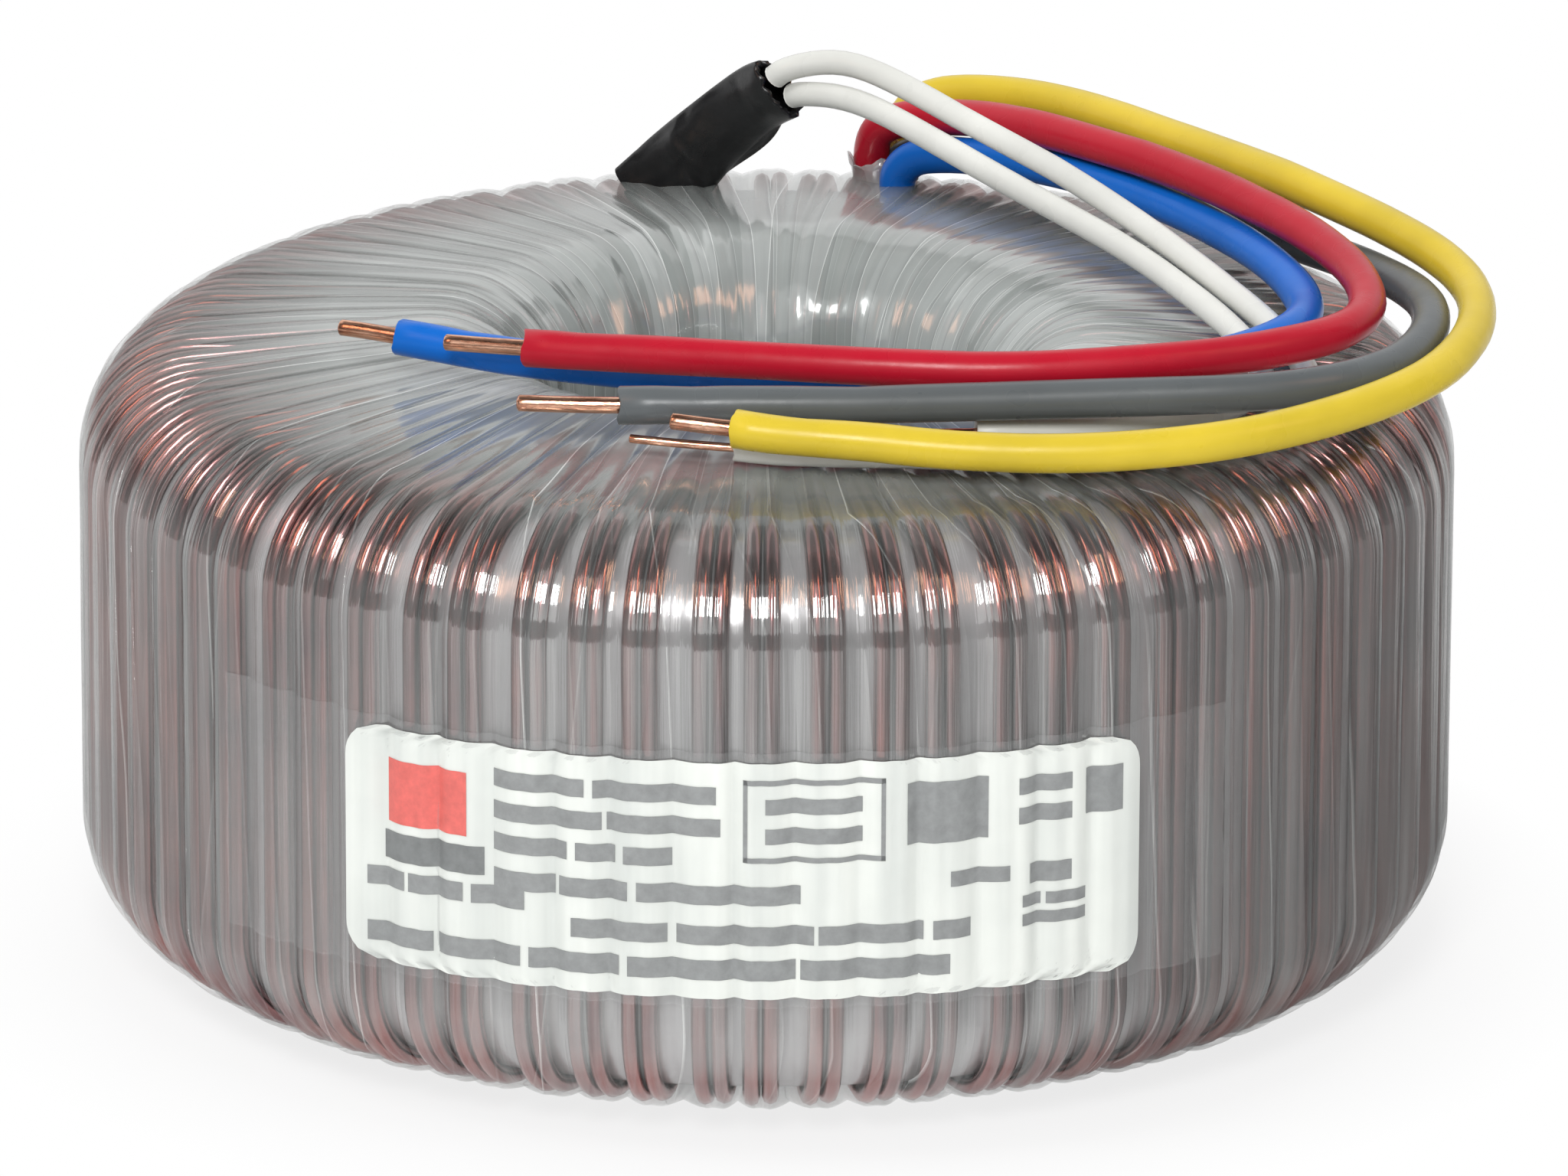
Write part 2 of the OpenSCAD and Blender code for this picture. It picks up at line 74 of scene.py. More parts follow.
# ---------------- shader helpers
class Tree:
    """A small builder for the nodes of a material or of the world."""

    def __init__(self, owner, clear=True):
        owner.use_nodes = True
        self.t = owner.node_tree
        if clear:
            self.t.nodes.clear()

    def node(self, kind, **props):
        n = self.t.nodes.new(kind)
        for k, v in props.items():
            setattr(n, k, v)
        return n

    def link(self, a, b):
        self.t.links.new(a, b)

    def put(self, sock, value):
        if hasattr(value, "is_output"):
            self.link(value, sock)
        else:
            sock.default_value = value

    def coords(self, kind="Object"):
        return self.node("ShaderNodeTexCoord").outputs[kind]

    def scaled(self, vec, scale):
        n = self.node("ShaderNodeMapping")
        self.link(vec, n.inputs["Vector"])
        n.inputs["Scale"].default_value = scale
        return n.outputs[0]

    def noise(self, vec, scale, detail=3, rough=0.5, distort=0.0):
        n = self.node("ShaderNodeTexNoise")
        self.link(vec, n.inputs["Vector"])
        n.inputs["Scale"].default_value = scale
        n.inputs["Detail"].default_value = detail
        n.inputs["Roughness"].default_value = rough
        n.inputs["Distortion"].default_value = distort
        return n.outputs["Fac"]

    def ramp(self, fac, stops):
        n = self.node("ShaderNodeValToRGB")
        e = n.color_ramp.elements
        while len(e) < len(stops):
            e.new(0.5)
        for i, (p, c) in enumerate(stops):
            e[i].position = p
            e[i].color = (*c, 1)
        self.link(fac, n.inputs["Fac"])
        return n.outputs["Color"]

    def rng(self, v, a, b, c, d, kind="LINEAR"):
        """v from a..b to c..d, held at the ends."""
        n = self.node("ShaderNodeMapRange", interpolation_type=kind)
        self.put(n.inputs[0], v)
        for i, x in enumerate((a, b, c, d)):
            n.inputs[i + 1].default_value = x
        return n.outputs[0]

    def math(self, op, a, b=0.0):
        n = self.node("ShaderNodeMath", operation=op)
        self.put(n.inputs[0], a)
        self.put(n.inputs[1], b)
        return n.outputs[0]

    def mix(self, fac, a, b):
        n = self.node("ShaderNodeMix", data_type="RGBA")
        self.put(n.inputs["Factor"], fac)
        self.put(n.inputs[6], a if hasattr(a, "is_output") else (*a, 1))
        self.put(n.inputs[7], b if hasattr(b, "is_output") else (*b, 1))
        return n.outputs[2]

    def blend(self, noise, dark, light):
        """A tone that follows a noise from dark to light."""
        return self.mix(self.rng(noise, 0.3, 0.7, 0, 1), dark, light)

    def bump(self, height, strength, distance, normal=None):
        n = self.node("ShaderNodeBump")
        self.link(height, n.inputs["Height"])
        n.inputs["Strength"].default_value = strength
        n.inputs["Distance"].default_value = distance
        if normal is not None:
            self.link(normal, n.inputs["Normal"])
        return n.outputs[0]

    def split(self, vec):
        n = self.node("ShaderNodeSeparateXYZ")
        self.link(vec, n.inputs[0])
        return n.outputs

    def white_noise(self, number):
        n = self.node("ShaderNodeTexWhiteNoise", noise_dimensions="1D")
        self.link(number, n.inputs["W"])
        return n.outputs["Value"]

    def emit(self, colour=WHITE, strength=1.0, kind="ShaderNodeEmission"):
        n = self.node(kind)
        n.inputs["Color"].default_value = (*colour, 1)
        self.put(n.inputs["Strength"], strength)
        return n.outputs[0]

    def mix_shader(self, fac, a, b):
        n = self.node("ShaderNodeMixShader")
        for sock, v in zip(n.inputs, (fac, a, b)):
            self.link(v, sock)
        return n.outputs[0]

    def surface(self, shader, kind="ShaderNodeOutputMaterial"):
        self.link(shader, self.node(kind).inputs["Surface"])


class Mat(Tree):
    """A material with one Principled shader."""

    def __init__(self, name):
        self.m = bpy.data.materials.new(name)
        super().__init__(self.m, clear=False)
        self.b = self.t.nodes["Principled BSDF"]

    def set(self, **kw):
        for k, v in kw.items():
            sock = self.b.inputs[k.replace("_", " ")]
            if isinstance(v, tuple) and len(v) == 3 and sock.type == "RGBA":
                v = (*v, 1)
            self.put(sock, v)
        return self.m


# ---------------- mesh helpers
def new_mesh(name, verts, faces, mat, uvs=None):
    """A smooth mesh from points in millimetres."""
    me = bpy.data.meshes.new(name)
    me.from_pydata((np.asarray(verts) * MM).tolist(), [], [tuple(map(int, f)) for f in faces])
    me.update()
    if uvs is not None:
        lay = me.uv_layers.new(name="UVMap")
        idx = np.empty(len(me.loops), dtype=np.int64)
        me.loops.foreach_get("vertex_index", idx)
        lay.data.foreach_set("uv", np.asarray(uvs, dtype=np.float32)[idx].ravel())
    me.polygons.foreach_set("use_smooth", np.ones(len(me.polygons), dtype=bool))
    me.materials.append(mat)
    ob = bpy.data.objects.new(name, me)
    scene.collection.objects.link(ob)
    return ob


def grid_faces(nr, nc, wrap_c=False, wrap_r=False):
    """Faces of a grid of nr rows and nc columns, closed on itself where asked."""
    faces = []
    for r in range(nr if wrap_r else nr - 1):
        for c in range(nc if wrap_c else nc - 1):
            a, b = r * nc + c, r * nc + (c + 1) % nc
            d, e = ((r + 1) % nr) * nc + c, ((r + 1) % nr) * nc + (c + 1) % nc
            faces.append((a, b, e, d))
    return faces


def spline(points, per):
    """Centripetal Catmull-Rom curve through points, per samples a span."""
    p = [np.array(q, float) for q in points]
    p = [2 * p[0] - p[1]] + p + [2 * p[-1] - p[-2]]
    out = []
    for i in range(1, len(p) - 2):
        p0, p1, p2, p3 = p[i - 1 : i + 3]
        t = [0.0]
        for a, b in ((p0, p1), (p1, p2), (p2, p3)):
            t.append(t[-1] + max(np.linalg.norm(b - a), 1e-6) ** 0.5)
        for u in np.linspace(t[1], t[2], per, endpoint=False):
            a1 = (t[1] - u) / (t[1] - t[0]) * p0 + (u - t[0]) / (t[1] - t[0]) * p1
            a2 = (t[2] - u) / (t[2] - t[1]) * p1 + (u - t[1]) / (t[2] - t[1]) * p2
            a3 = (t[3] - u) / (t[3] - t[2]) * p2 + (u - t[2]) / (t[3] - t[2]) * p3
            b1 = (t[2] - u) / (t[2] - t[0]) * a1 + (u - t[0]) / (t[2] - t[0]) * a2
            b2 = (t[3] - u) / (t[3] - t[1]) * a2 + (u - t[1]) / (t[3] - t[1]) * a3
            out.append((t[2] - u) / (t[2] - t[1]) * b1 + (u - t[1]) / (t[2] - t[1]) * b2)
    out.append(p[-2])
    return np.array(out)


def smooth_path(points, per, rounds):
    """The curve through points, relaxed a little so that its bends are even."""
    q = spline(points, per)
    for _ in range(rounds * per):
        q[1:-1] = 0.25 * q[:-2] + 0.5 * q[1:-1] + 0.25 * q[2:]
    return q


def frames(path):
    """Tangents and two cross directions along a path, carried without twist."""
    t = np.gradient(path, axis=0)
    t /= np.linalg.norm(t, axis=1)[:, None]
    x = np.cross(t[0], [0, 0, 1.0])
    x /= np.linalg.norm(x)
    xs = []
    for k in t:
        x = x - (x @ k) * k
        x /= np.linalg.norm(x)
        xs.append(x)
    xs = np.array(xs)
    return t, xs, np.cross(t, xs)


def wave(n, k, seed, amp):
    """Smooth random numbers along n samples with about k waves."""
    g = np.random.default_rng(seed)
    knots = g.normal(0, amp, k + 3)
    return np.interp(np.linspace(0, k + 2, n), np.arange(k + 3), knots)


# ---------------- body numbers
BODY_R, BODY_H = 67.5, 63.0
MID = BODY_H / 2
SHOULDER_R, RIM_R, HOLE_R = 12.0, 11.0, 22.0
# the faces rise by RISE between the shoulder and the crest, where the wires climb on each other
RISE, CREST_R = 1.75, 36.0
TURNS, STRAY, GOLDEN_ANGLE = 72, 0.45, 137.5
PITCH = 360 / TURNS
# length of one degree on the wall
WALL_DEG = 1.178


def pair_angle(i):
    """Angle of a wire pair, a little off the even pitch as wound by hand."""
    return i * PITCH + STRAY * math.sin(math.radians(i * GOLDEN_ANGLE))


PAIRS = np.array([pair_angle(i) for i in range(-1, TURNS + 2)])


def half_section():
    """Radius, height and direction of the outward normal, from mid wall up to mid hole."""
    pts = []
    cr, cz = BODY_R - SHOULDER_R, BODY_H - RISE - SHOULDER_R
    slope = math.atan(RISE / (cr - CREST_R + 2.4))
    for z in np.linspace(MID, cz, 9)[:-1]:
        pts.append((BODY_R, z, 0.0))
    top = math.pi / 2 - slope
    for a in np.linspace(0, top, 19)[:-1]:
        pts.append((cr + SHOULDER_R * math.cos(a), cz + SHOULDER_R * math.sin(a), a))
    start_r, start_z = cr + SHOULDER_R * math.cos(top), cz + SHOULDER_R * math.sin(top)
    end_r = HOLE_R + RIM_R
    n = 17
    for k in range(n):
        u = k / n
        # straight climb that eases into the flat crest
        climb = 1 - (1 - min(1, u * 1.04)) ** 1.25
        z = start_z + (BODY_H - start_z) * climb
        pts.append((start_r + (end_r - start_r) * u, min(z, BODY_H), top + slope * u))
    for b in np.linspace(0, math.pi / 2, 15)[:-1]:
        pts.append((end_r - RIM_R * math.sin(b), BODY_H - RIM_R + RIM_R * math.cos(b), math.pi / 2 + b))
    for z in np.linspace(BODY_H - RIM_R, MID, 9):
        pts.append((HOLE_R, z, math.pi))
    return np.array(pts)


# half width of the film's crown over a pair, its dip between the two wires and the groove beside it
CROWN_HALF, CROWN_DIP = 0.92, 0.10
GROOVE_DEPTH, GROOVE_POWER = 0.95, 1.45


def wall_profile(xw, hg):
    """Depth of the film below its crown at distance xw from a pair, with half gap hg."""
    q = np.clip((np.abs(xw) - CROWN_HALF) / (hg - CROWN_HALF), 0, 1)
    dip = CROWN_DIP * 0.5 * (1 + np.cos(np.pi * np.clip(np.abs(xw) / CROWN_HALF, 0, 1)))
    return dip + GROOVE_DEPTH * q**GROOVE_POWER


# ---------------- film wrap
SEAM_R = 48.0


def film_rows():
    """The whole section as a ring of rows, a little coarser below."""
    up = half_section()
    lower = up[::-1].copy()
    keep = np.r_[0:9:2, 9:23:1, 23:40:2, 40:58:1, 58:66:2]
    lower = lower[np.unique(np.clip(keep, 0, len(lower) - 1))]
    lower[:, 1] = BODY_H - lower[:, 1]
    lower[:, 2] = -lower[:, 2]
    rows = np.vstack([up, lower[1:-1]])
    # the ring closes under the part, on the flat between shoulder and hole
    under = int(np.argmin(np.hypot(rows[:, 0] - SEAM_R, rows[:, 1] - 1)))
    return np.roll(rows, -under, axis=0)


def film_columns():
    """Angle, wall offset and half gap of every column of the film."""
    cols = []
    for i in range(TURNS):
        left, c, right = PAIRS[i : i + 3]
        hl, hr = (c - left) / 2 * WALL_DEG, (right - c) / 2 * WALL_DEG
        for f in (1, 0.62, 0.3, 0):
            cols.append((c, -(CROWN_HALF + (hl - CROWN_HALF) * f), hl))
        for f in (-0.5, 0, 0.5, 1):
            cols.append((c, CROWN_HALF * f, hr))
        for f in (0.3, 0.62):
            cols.append((c, CROWN_HALF + (hr - CROWN_HALF) * f, hr))
    return np.array([(c + x / WALL_DEG, x, half) for c, x, half in cols])


def value_noise(u, v, nu, nv, seed):
    """Smooth noise over u and v, both of which wrap at 1."""
    g = np.random.default_rng(seed).normal(0, 1, (nu, nv))
    x, y = (u % 1.0) * nu, (v % 1.0) * nv
    i, j = np.floor(x).astype(int), np.floor(y).astype(int) % nv
    fx, fy = x - np.floor(x), y - np.floor(y)
    fx, fy = fx * fx * (3 - 2 * fx), fy * fy * (3 - 2 * fy)
    a, b = g[i % nu, j], g[(i + 1) % nu, j]
    c, d = g[i % nu, (j + 1) % nv], g[(i + 1) % nu, (j + 1) % nv]
    return (a * (1 - fx) + b * fx) * (1 - fy) + (c * (1 - fx) + d * fx) * fy


# share of the wall's groove that is left at each radius, and the size of the film's small waves
GROOVE_SHARE = ([22, 28, 36, 46, 55, 60, 64, 67.5], [0.04, 0.08, 0.16, 0.24, 0.34, 0.64, 0.94, 1])
GROOVE_SHARE_BELOW, BELOW_FROM_R = 0.8, 55.0
WAVE_SIZE = ([22, 33, 45, 60, 67.5], [0.015, 0.02, 0.04, 0.05, 0.03])
# folds: waves round the hole and along the section, size
HOLE_FOLD, HOLE_CREASE, HOLE_BASE = (24, 19, 0.50), (52, 44, 0.13), 0.30
FACE_FOLD, FACE_CREASE = (58, 10, 0.13), (116, 16, 0.03)
FILM_INSET = 0.05


def film_surface(rows, cols):
    """Points, map and whole length of the film's section."""
    r0, z0, normal = (rows[:, k][:, None] for k in range(3))
    ang, xw, hg = (cols[:, k][None, :] for k in range(3))
    seg = np.linalg.norm(np.diff(np.vstack([rows[:, :2], rows[:1, :2]]), axis=0), axis=1)
    run = np.r_[0, np.cumsum(seg)]
    s, total = run[:-1, None], run[-1]
    u, v = np.broadcast_arrays(ang / 360, s / total)

    def fold(shape, seed, lean=0.0):
        return shape[2] * value_noise(u + lean * v, v, shape[0], shape[1], seed)

    share = np.interp(r0, *GROOVE_SHARE)
    below = (z0 < MID) & (r0 > BELOW_FROM_R)
    share = np.where(below, np.maximum(share, GROOVE_SHARE_BELOW), share)
    depth = FILM_INSET + wall_profile(xw, hg) * share
    depth = depth + np.interp(r0, *WAVE_SIZE) * fold((150, 14, 1.0), 3)
    depth = depth + (r0 / BODY_R) ** 2 * fold((420, 60, 0.012), 4)
    # the film is crumpled in the hole and lies in long folds round it
    in_hole = np.clip((31 - r0) / 7, 0, 1)
    crumple = np.abs(fold(HOLE_FOLD, 5)) + fold(HOLE_CREASE, 6) - HOLE_BASE
    depth = depth + in_hole * np.clip(crumple, -0.7, HOLE_BASE)
    near_hole = np.clip((50 - r0) / 14, 0, 1)
    depth = depth + near_hole * (np.abs(fold(FACE_FOLD, 8, lean=0.05)) + fold(FACE_CREASE, 9))
    r = r0 - depth * np.cos(normal)
    z = z0 - depth * np.sin(normal)
    a = np.radians(ang)
    verts = np.stack([r * np.cos(a), r * np.sin(a), z], -1).reshape(-1, 3)
    uvs = np.stack(np.broadcast_arrays(ang / PITCH, s), -1).reshape(-1, 2)
    return verts, uvs, total


# how much of what lies below the film hides, from clear to solid
WALL_ALPHA, SHOULDER_ALPHA, HOLE_ALPHA = 0.36, 0.14, 0.80


def film_material():
    """Clear ribbon in many layers: bright cut edges with a painted shadow beside each, milky towards the
    hole, pull lines on the wall.
    """
    k = Mat("wrap_film")
    uv = k.node("ShaderNodeUVMap", uv_map="UVMap").outputs[0]
    around, along = k.split(uv)[:2]
    obj = k.coords("Object")
    x, y, _ = k.split(obj)
    # radius in metres
    rad = k.math("SQRT", k.math("ADD", k.math("MULTIPLY", x, x), k.math("MULTIPLY", y, y)))
    top = k.rng(rad, 0.0625, 0.054, 0, 1)
    inside = k.rng(rad, 0.034, 0.024, 0, 1)
    warp = k.noise(obj, 16, 2, 0.45)

    def edges(count, lean, start, bend):
        """Place across each strip of the ribbon, 0 to 1, and a random number for the strip."""
        straight = k.math("ADD", k.math("MULTIPLY", around, count / TURNS), k.math("MULTIPLY", along, lean))
        bent = k.math("ADD", k.math("MULTIPLY", warp, k.rng(rad, 0.056, 0.067, bend, bend * 0.25)), start)
        q = k.math("ADD", straight, bent)
        return k.math("FRACT", q), k.white_noise(k.math("FLOOR", q))

    def cut_edge(across, width, chance, low, high, dim, bright):
        """A thin line at the strip's edge, on some strips brighter than on others."""
        return k.math("MULTIPLY", k.rng(across, 0.0, width, 1, 0), k.rng(chance, low, high, dim, bright))

    # three families of strips that lie across each other
    f1, r1 = edges(88, 0.008, 0.13, 2.6)
    f2, r2 = edges(61, -0.016, 0.57, 2.0)
    f3, r3 = edges(141, 0.012, 0.31, 1.8)
    line1 = cut_edge(f1, 0.05, r1, 0.25, 0.9, 0.15, 1)
    line2 = cut_edge(f2, 0.04, r2, 0.4, 0.9, 0.0, 0.8)
    line3 = cut_edge(f3, 0.05, r3, 0.5, 0.95, 0.0, 0.7)
    finer = k.math("MULTIPLY", k.math("MAXIMUM", line2, line3), k.rng(top, 0, 1, 0.35, 1))
    line = k.math("MAXIMUM", line1, finer)
    # painted shadow: each strip is darker just past its cut edge, as if the step cast a soft shadow on it
    shade = k.math("MULTIPLY", k.rng(f1, 0.05, 0.22, 1, 0), k.rng(f1, 0.045, 0.05, 0, 1))
    cloud = k.noise(obj, 26, 4, 0.6)

    # clearest over the shoulder; more layers lie on each other towards the hole
    layers = k.rng(rad, 0.0630, 0.043, 0, 1)
    alpha = k.rng(rad, 0.0668, 0.0655, WALL_ALPHA, SHOULDER_ALPHA)
    alpha = k.math("ADD", alpha, k.math("MULTIPLY", layers, HOLE_ALPHA - SHOULDER_ALPHA))
    vary = k.math("ADD", k.math("MULTIPLY", r1, 0.14), k.math("MULTIPLY", r2, 0.10))
    streaks = k.noise(k.scaled(uv, (3.1, 0.012, 1)), 1.0, 3, 0.6)
    streaks = k.math("MULTIPLY", k.rng(rad, 0.046, 0.062, 0.2, 1), k.rng(streaks, 0.3, 0.7, -0.16, 0.18))
    more = (k.math("MULTIPLY", vary, 0.5), k.math("MULTIPLY", line, 0.30),
            k.rng(cloud, 0.3, 0.7, -0.03, 0.05), streaks)
    for part in more:
        alpha = k.math("ADD", alpha, part)
    alpha = k.math("MINIMUM", alpha, 0.97)

    tone = k.blend(cloud, (0.36, 0.39, 0.375), (0.43, 0.455, 0.44))
    tone = k.mix(k.math("MULTIPLY", r1, 0.8), tone, (0.25, 0.275, 0.265))
    tone = k.mix(k.math("MULTIPLY", r2, 0.45), tone, (0.60, 0.62, 0.61))
    tone = k.mix(k.rng(rad, 0.061, 0.066, 0.0, 0.75), tone, (0.66, 0.67, 0.665))
    # darken the tone with the painted shadow beside each cut edge
    tone = k.mix(k.math("MULTIPLY", shade, 0.45), tone, (0.24, 0.25, 0.25))
    tone = k.mix(k.math("MULTIPLY", line, 0.85), tone, (0.92, 0.94, 0.92))

    # relief: pull lines up the wall, strip steps, creases, and crumple in the hole
    pull = k.noise(k.scaled(uv, (5.2, 0.018, 1)), 1.0, 3, 0.62)
    step = k.math("ADD", k.math("MULTIPLY", f1, k.rng(top, 0, 1, 0.25, 1)),
                  k.math("MULTIPLY", f2, k.rng(top, 0, 1, 0.0, 0.7)))
    crease = k.noise(k.scaled(obj, (1, 1, 0.35)), 200, 2, 0.5, 0.3)
    cells = k.node("ShaderNodeTexVoronoi", feature="F1")
    k.link(k.scaled(obj, (1, 1, 0.6)), cells.inputs["Vector"])
    cells.inputs["Scale"].default_value = 85
    normal = k.bump(k.math("MULTIPLY", pull, k.rng(rad, 0.050, 0.062, 0.03, 1)), 0.6, 0.00055)
    normal = k.bump(step, 0.7, 0.00030, normal)
    normal = k.bump(k.math("MULTIPLY", crease, k.rng(rad, 0.046, 0.060, 0.25, 1)), 0.10, 0.00022, normal)
    k.link(normal, k.b.inputs["Coat Normal"])
    normal = k.bump(k.math("MULTIPLY", cells.outputs["Distance"], inside), 0.25, 0.0011, normal)
    metal = k.math("SUBTRACT", k.rng(rad, 0.066, 0.054, 0.72, 0.30), k.rng(rad, 0.044, 0.032, 0.0, 0.22))
    return k.set(
        Base_Color=tone,
        Metallic=metal,
        Roughness=k.rng(rad, 0.066, 0.050, 0.08, 0.17),
        Alpha=alpha,
        Normal=normal,
        IOR=1.6,
        Coat_Weight=k.rng(rad, 0.066, 0.054, 0.26, 0.30),
        Coat_Roughness=0.06,
    )


def close_uv_seams(ob, rows, cols, total):
    """The last row and column close on the first ones without a jump in the pattern."""
    me = ob.data
    uv = np.empty(len(me.loops) * 2, dtype=np.float32)
    idx = np.empty(len(me.loops), dtype=np.int64)
    me.uv_layers[0].data.foreach_get("uv", uv)
    me.loops.foreach_get("vertex_index", idx)
    uv = uv.reshape(-1, 4, 2)
    row, col = idx.reshape(-1, 4) // cols, idx.reshape(-1, 4) % cols
    last_row = (row.max(1) == rows - 1) & (row.min(1) == 0)
    last_col = (col.max(1) == cols - 1) & (col.min(1) == 0)
    uv[..., 1][last_row[:, None] & (row == 0)] += total
    uv[..., 0][last_col[:, None] & (col == 0)] += TURNS
    me.uv_layers[0].data.foreach_set("uv", uv.ravel())


def film_sheet():
    rows, cols = film_rows(), film_columns()
    verts, uvs, total = film_surface(rows, cols)
    faces = grid_faces(len(rows), len(cols), True, True)
    ob = new_mesh("film_wrap_sheet", verts, faces, film_material(), uvs)
    close_uv_seams(ob, len(rows), len(cols), total)
    return ob


film = film_sheet()
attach(film, "root")
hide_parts("film_wrap")


# ---------------- wire turns
WIRE_D, WIRE_SIDES = 1.66, 8
# half the distance between the two wires of a pair on the wall, less towards the hole
PAIR_HALF, PAIR_CLOSING = 0.93, 0.0065
WALL_WIRE_R = 66.15
ARC_STEP, STRAIGHT_STEP = 1.6, 9


def rounded_loop(pts, radii):
    """Closed rounded path through pts in the plane of a turn."""
    out = []
    n = len(pts)
    pts = [np.array(p, float) for p in pts]
    for i in range(n):
        a, b, c = pts[i - 1], pts[i], pts[(i + 1) % n]
        u, v = (b - a) / np.linalg.norm(b - a), (c - b) / np.linalg.norm(c - b)
        turn = math.acos(max(-1, min(1, float(u @ v))))
        r = radii[i]
        if r == 0 or turn < 1e-4:
            out.append(b)
            continue
        t = r * math.tan(turn / 2)
        side = v - (v @ u) * u
        side /= np.linalg.norm(side)
        cen = b - t * u + r * side
        m = max(4, int(turn * r / ARC_STEP))
        for k in range(m + 1):
            q = turn * k / m
            out.append(cen + r * (-side * math.cos(q) + u * math.sin(q)))
    dense = []
    for i, p in enumerate(out):
        q = out[(i + 1) % len(out)]
        m = max(1, int(np.linalg.norm(q - p) / STRAIGHT_STEP))
        for k in range(m):
            dense.append(p + (q - p) * k / m)
    return np.array(dense)


def wire_mesh(name, side, loop, mat):
    """One wire of every pair, side -1 or 1, as closed round hoops."""
    verts, faces = [], []
    n = len(loop)
    tan = np.roll(loop, -1, 0) - np.roll(loop, 1, 0)
    tan /= np.linalg.norm(tan, axis=1)[:, None]
    nor = np.stack([tan[:, 1], -tan[:, 0]], 1)
    off = side * (PAIR_HALF - (BODY_R - 1.3 - loop[:, 0]) * PAIR_CLOSING)
    for i in range(TURNS):
        a = math.radians(pair_angle(i))
        ca, sa = math.cos(a), math.sin(a)
        for k in range(WIRE_SIDES):
            w = 2 * math.pi * k / WIRE_SIDES
            rr, zz = (loop + WIRE_D / 2 * math.cos(w) * nor).T
            tt = off + WIRE_D / 2 * math.sin(w)
            verts.append(np.stack([rr * ca - tt * sa, rr * sa + tt * ca, zz], 1))
        base = i * WIRE_SIDES * n
        for k in range(WIRE_SIDES):
            b0, b1 = base + k * n, base + ((k + 1) % WIRE_SIDES) * n
            for j in range(n):
                j1 = (j + 1) % n
                faces.append((b0 + j, b1 + j, b1 + j1, b0 + j1))
    return new_mesh(name, np.vstack(verts), faces, mat)


def enamel_material(name, dark, light):
    """Copper under dark red lacquer."""
    k = Mat(name)
    n = k.noise(k.coords("Object"), 70, 3, 0.6)
    return k.set(
        Base_Color=k.blend(n, dark, light),
        Metallic=1.0,
        Roughness=k.rng(n, 0.3, 0.7, 0.15, 0.22),
        Coat_Weight=0.22,
        Coat_Roughness=0.1,
    )


def inner_loop():
    """Wires b keep to one level and lie below wires a at the hole."""
    r, low, high = 25.1, 3.1, BODY_H - 3.1
    pts = [(WALL_WIRE_R, low), (WALL_WIRE_R, high), (r, high), (r, low)]
    return rounded_loop(pts, [10.65, 10.65, 7.9, 7.9])


def outer_loop():
    """Wires a climb from the shoulder to the crest, where they lie above wires b."""
    hole, crest, low, top = 23.35, 36.2, 3.76, 1.35
    pts = [(WALL_WIRE_R, low), (WALL_WIRE_R, BODY_H - low), (crest, BODY_H - top), (hole, BODY_H - top),
           (hole, top), (crest, top)]
    return rounded_loop(pts, [10.65, 10.65, 0, 9.65, 9.65, 0])


WIRES = [
    # last letter, side of the pair, path, dark and light tone
    ("a", -1, outer_loop(), (0.195, 0.094, 0.104), (0.475, 0.205, 0.180)),
    ("b", 1, inner_loop(), (0.18, 0.086, 0.096), (0.44, 0.190, 0.168)),
]
for letter, side, loop, dark, light in WIRES:
    name = "secondary_wires_" + letter
    ob = wire_mesh(name, side, loop, enamel_material(name + "_copper", dark, light))
    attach(ob, "root")
    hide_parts("secondary_winding_" + letter)


# ---------------- hidden CAD nodes keep their shape
def node_material(node, mat):
    """Gives a node that stays as it is in the frame its material."""
    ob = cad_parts[node]
    ob.data.materials.clear()
    ob.data.materials.append(mat)


def simple(name, col, rough, metallic, scale):
    """A plain material that varies a little in tone, roughness and relief."""
    k = Mat(name)
    n = k.noise(k.coords("Object"), scale, 4, 0.6)
    dark = tuple(c * 0.88 for c in col)
    light = tuple(min(1, c * 1.12) for c in col)
    return k.set(
        Base_Color=k.blend(n, dark, light),
        Roughness=k.rng(n, 0.3, 0.7, rough * 0.85, min(1, rough * 1.15)),
        Metallic=metallic,
        Normal=k.bump(n, 0.15, 0.0002),
    )


def tape_material():
    """Grey insulation film over the primary, seen in the gaps between the wires."""
    k = Mat("insulation_film")
    obj = k.coords("Object")
    n = k.noise(obj, 60, 4, 0.6)
    w = k.noise(k.scaled(obj, (1, 1, 0.15)), 420, 2, 0.5)
    return k.set(
        Base_Color=k.blend(n, (0.50, 0.49, 0.495), (0.62, 0.61, 0.615)),
        Roughness=0.25,
        Metallic=0.4,
        Normal=k.bump(w, 0.4, 0.0003),
    )


node_material("interwinding_tape", tape_material())
node_material("primary_winding", simple("primary_copper", (0.40, 0.16, 0.09), 0.3, 1.0, 400))
node_material("core", simple("strip_steel", (0.42, 0.43, 0.45), 0.35, 1.0, 300))
for n in ("core_cap_top", "core_cap_bottom"):
    node_material(n, simple("cap_plastic_" + n, (0.78, 0.76, 0.69), 0.55, 0.0, 250))


# ---------------- label
# angle from the front and height of each end, in degrees and millimetres
LABEL = (-36.1, 31.8, 16.5, 40.0)
STRIP = (-49.7, 40.2, 15.6, 41.0)
LABEL_CORNER_R, LABEL_COLUMNS = 3.4, 190
# how closely label and tape follow the grooves, and how far they and the print stand off the film
LABEL_FOLLOW, STRIP_FOLLOW = 0.86, 0.9
LABEL_OUT, STRIP_OUT, PRINT_OUT = 0.13, 0.09, 0.185


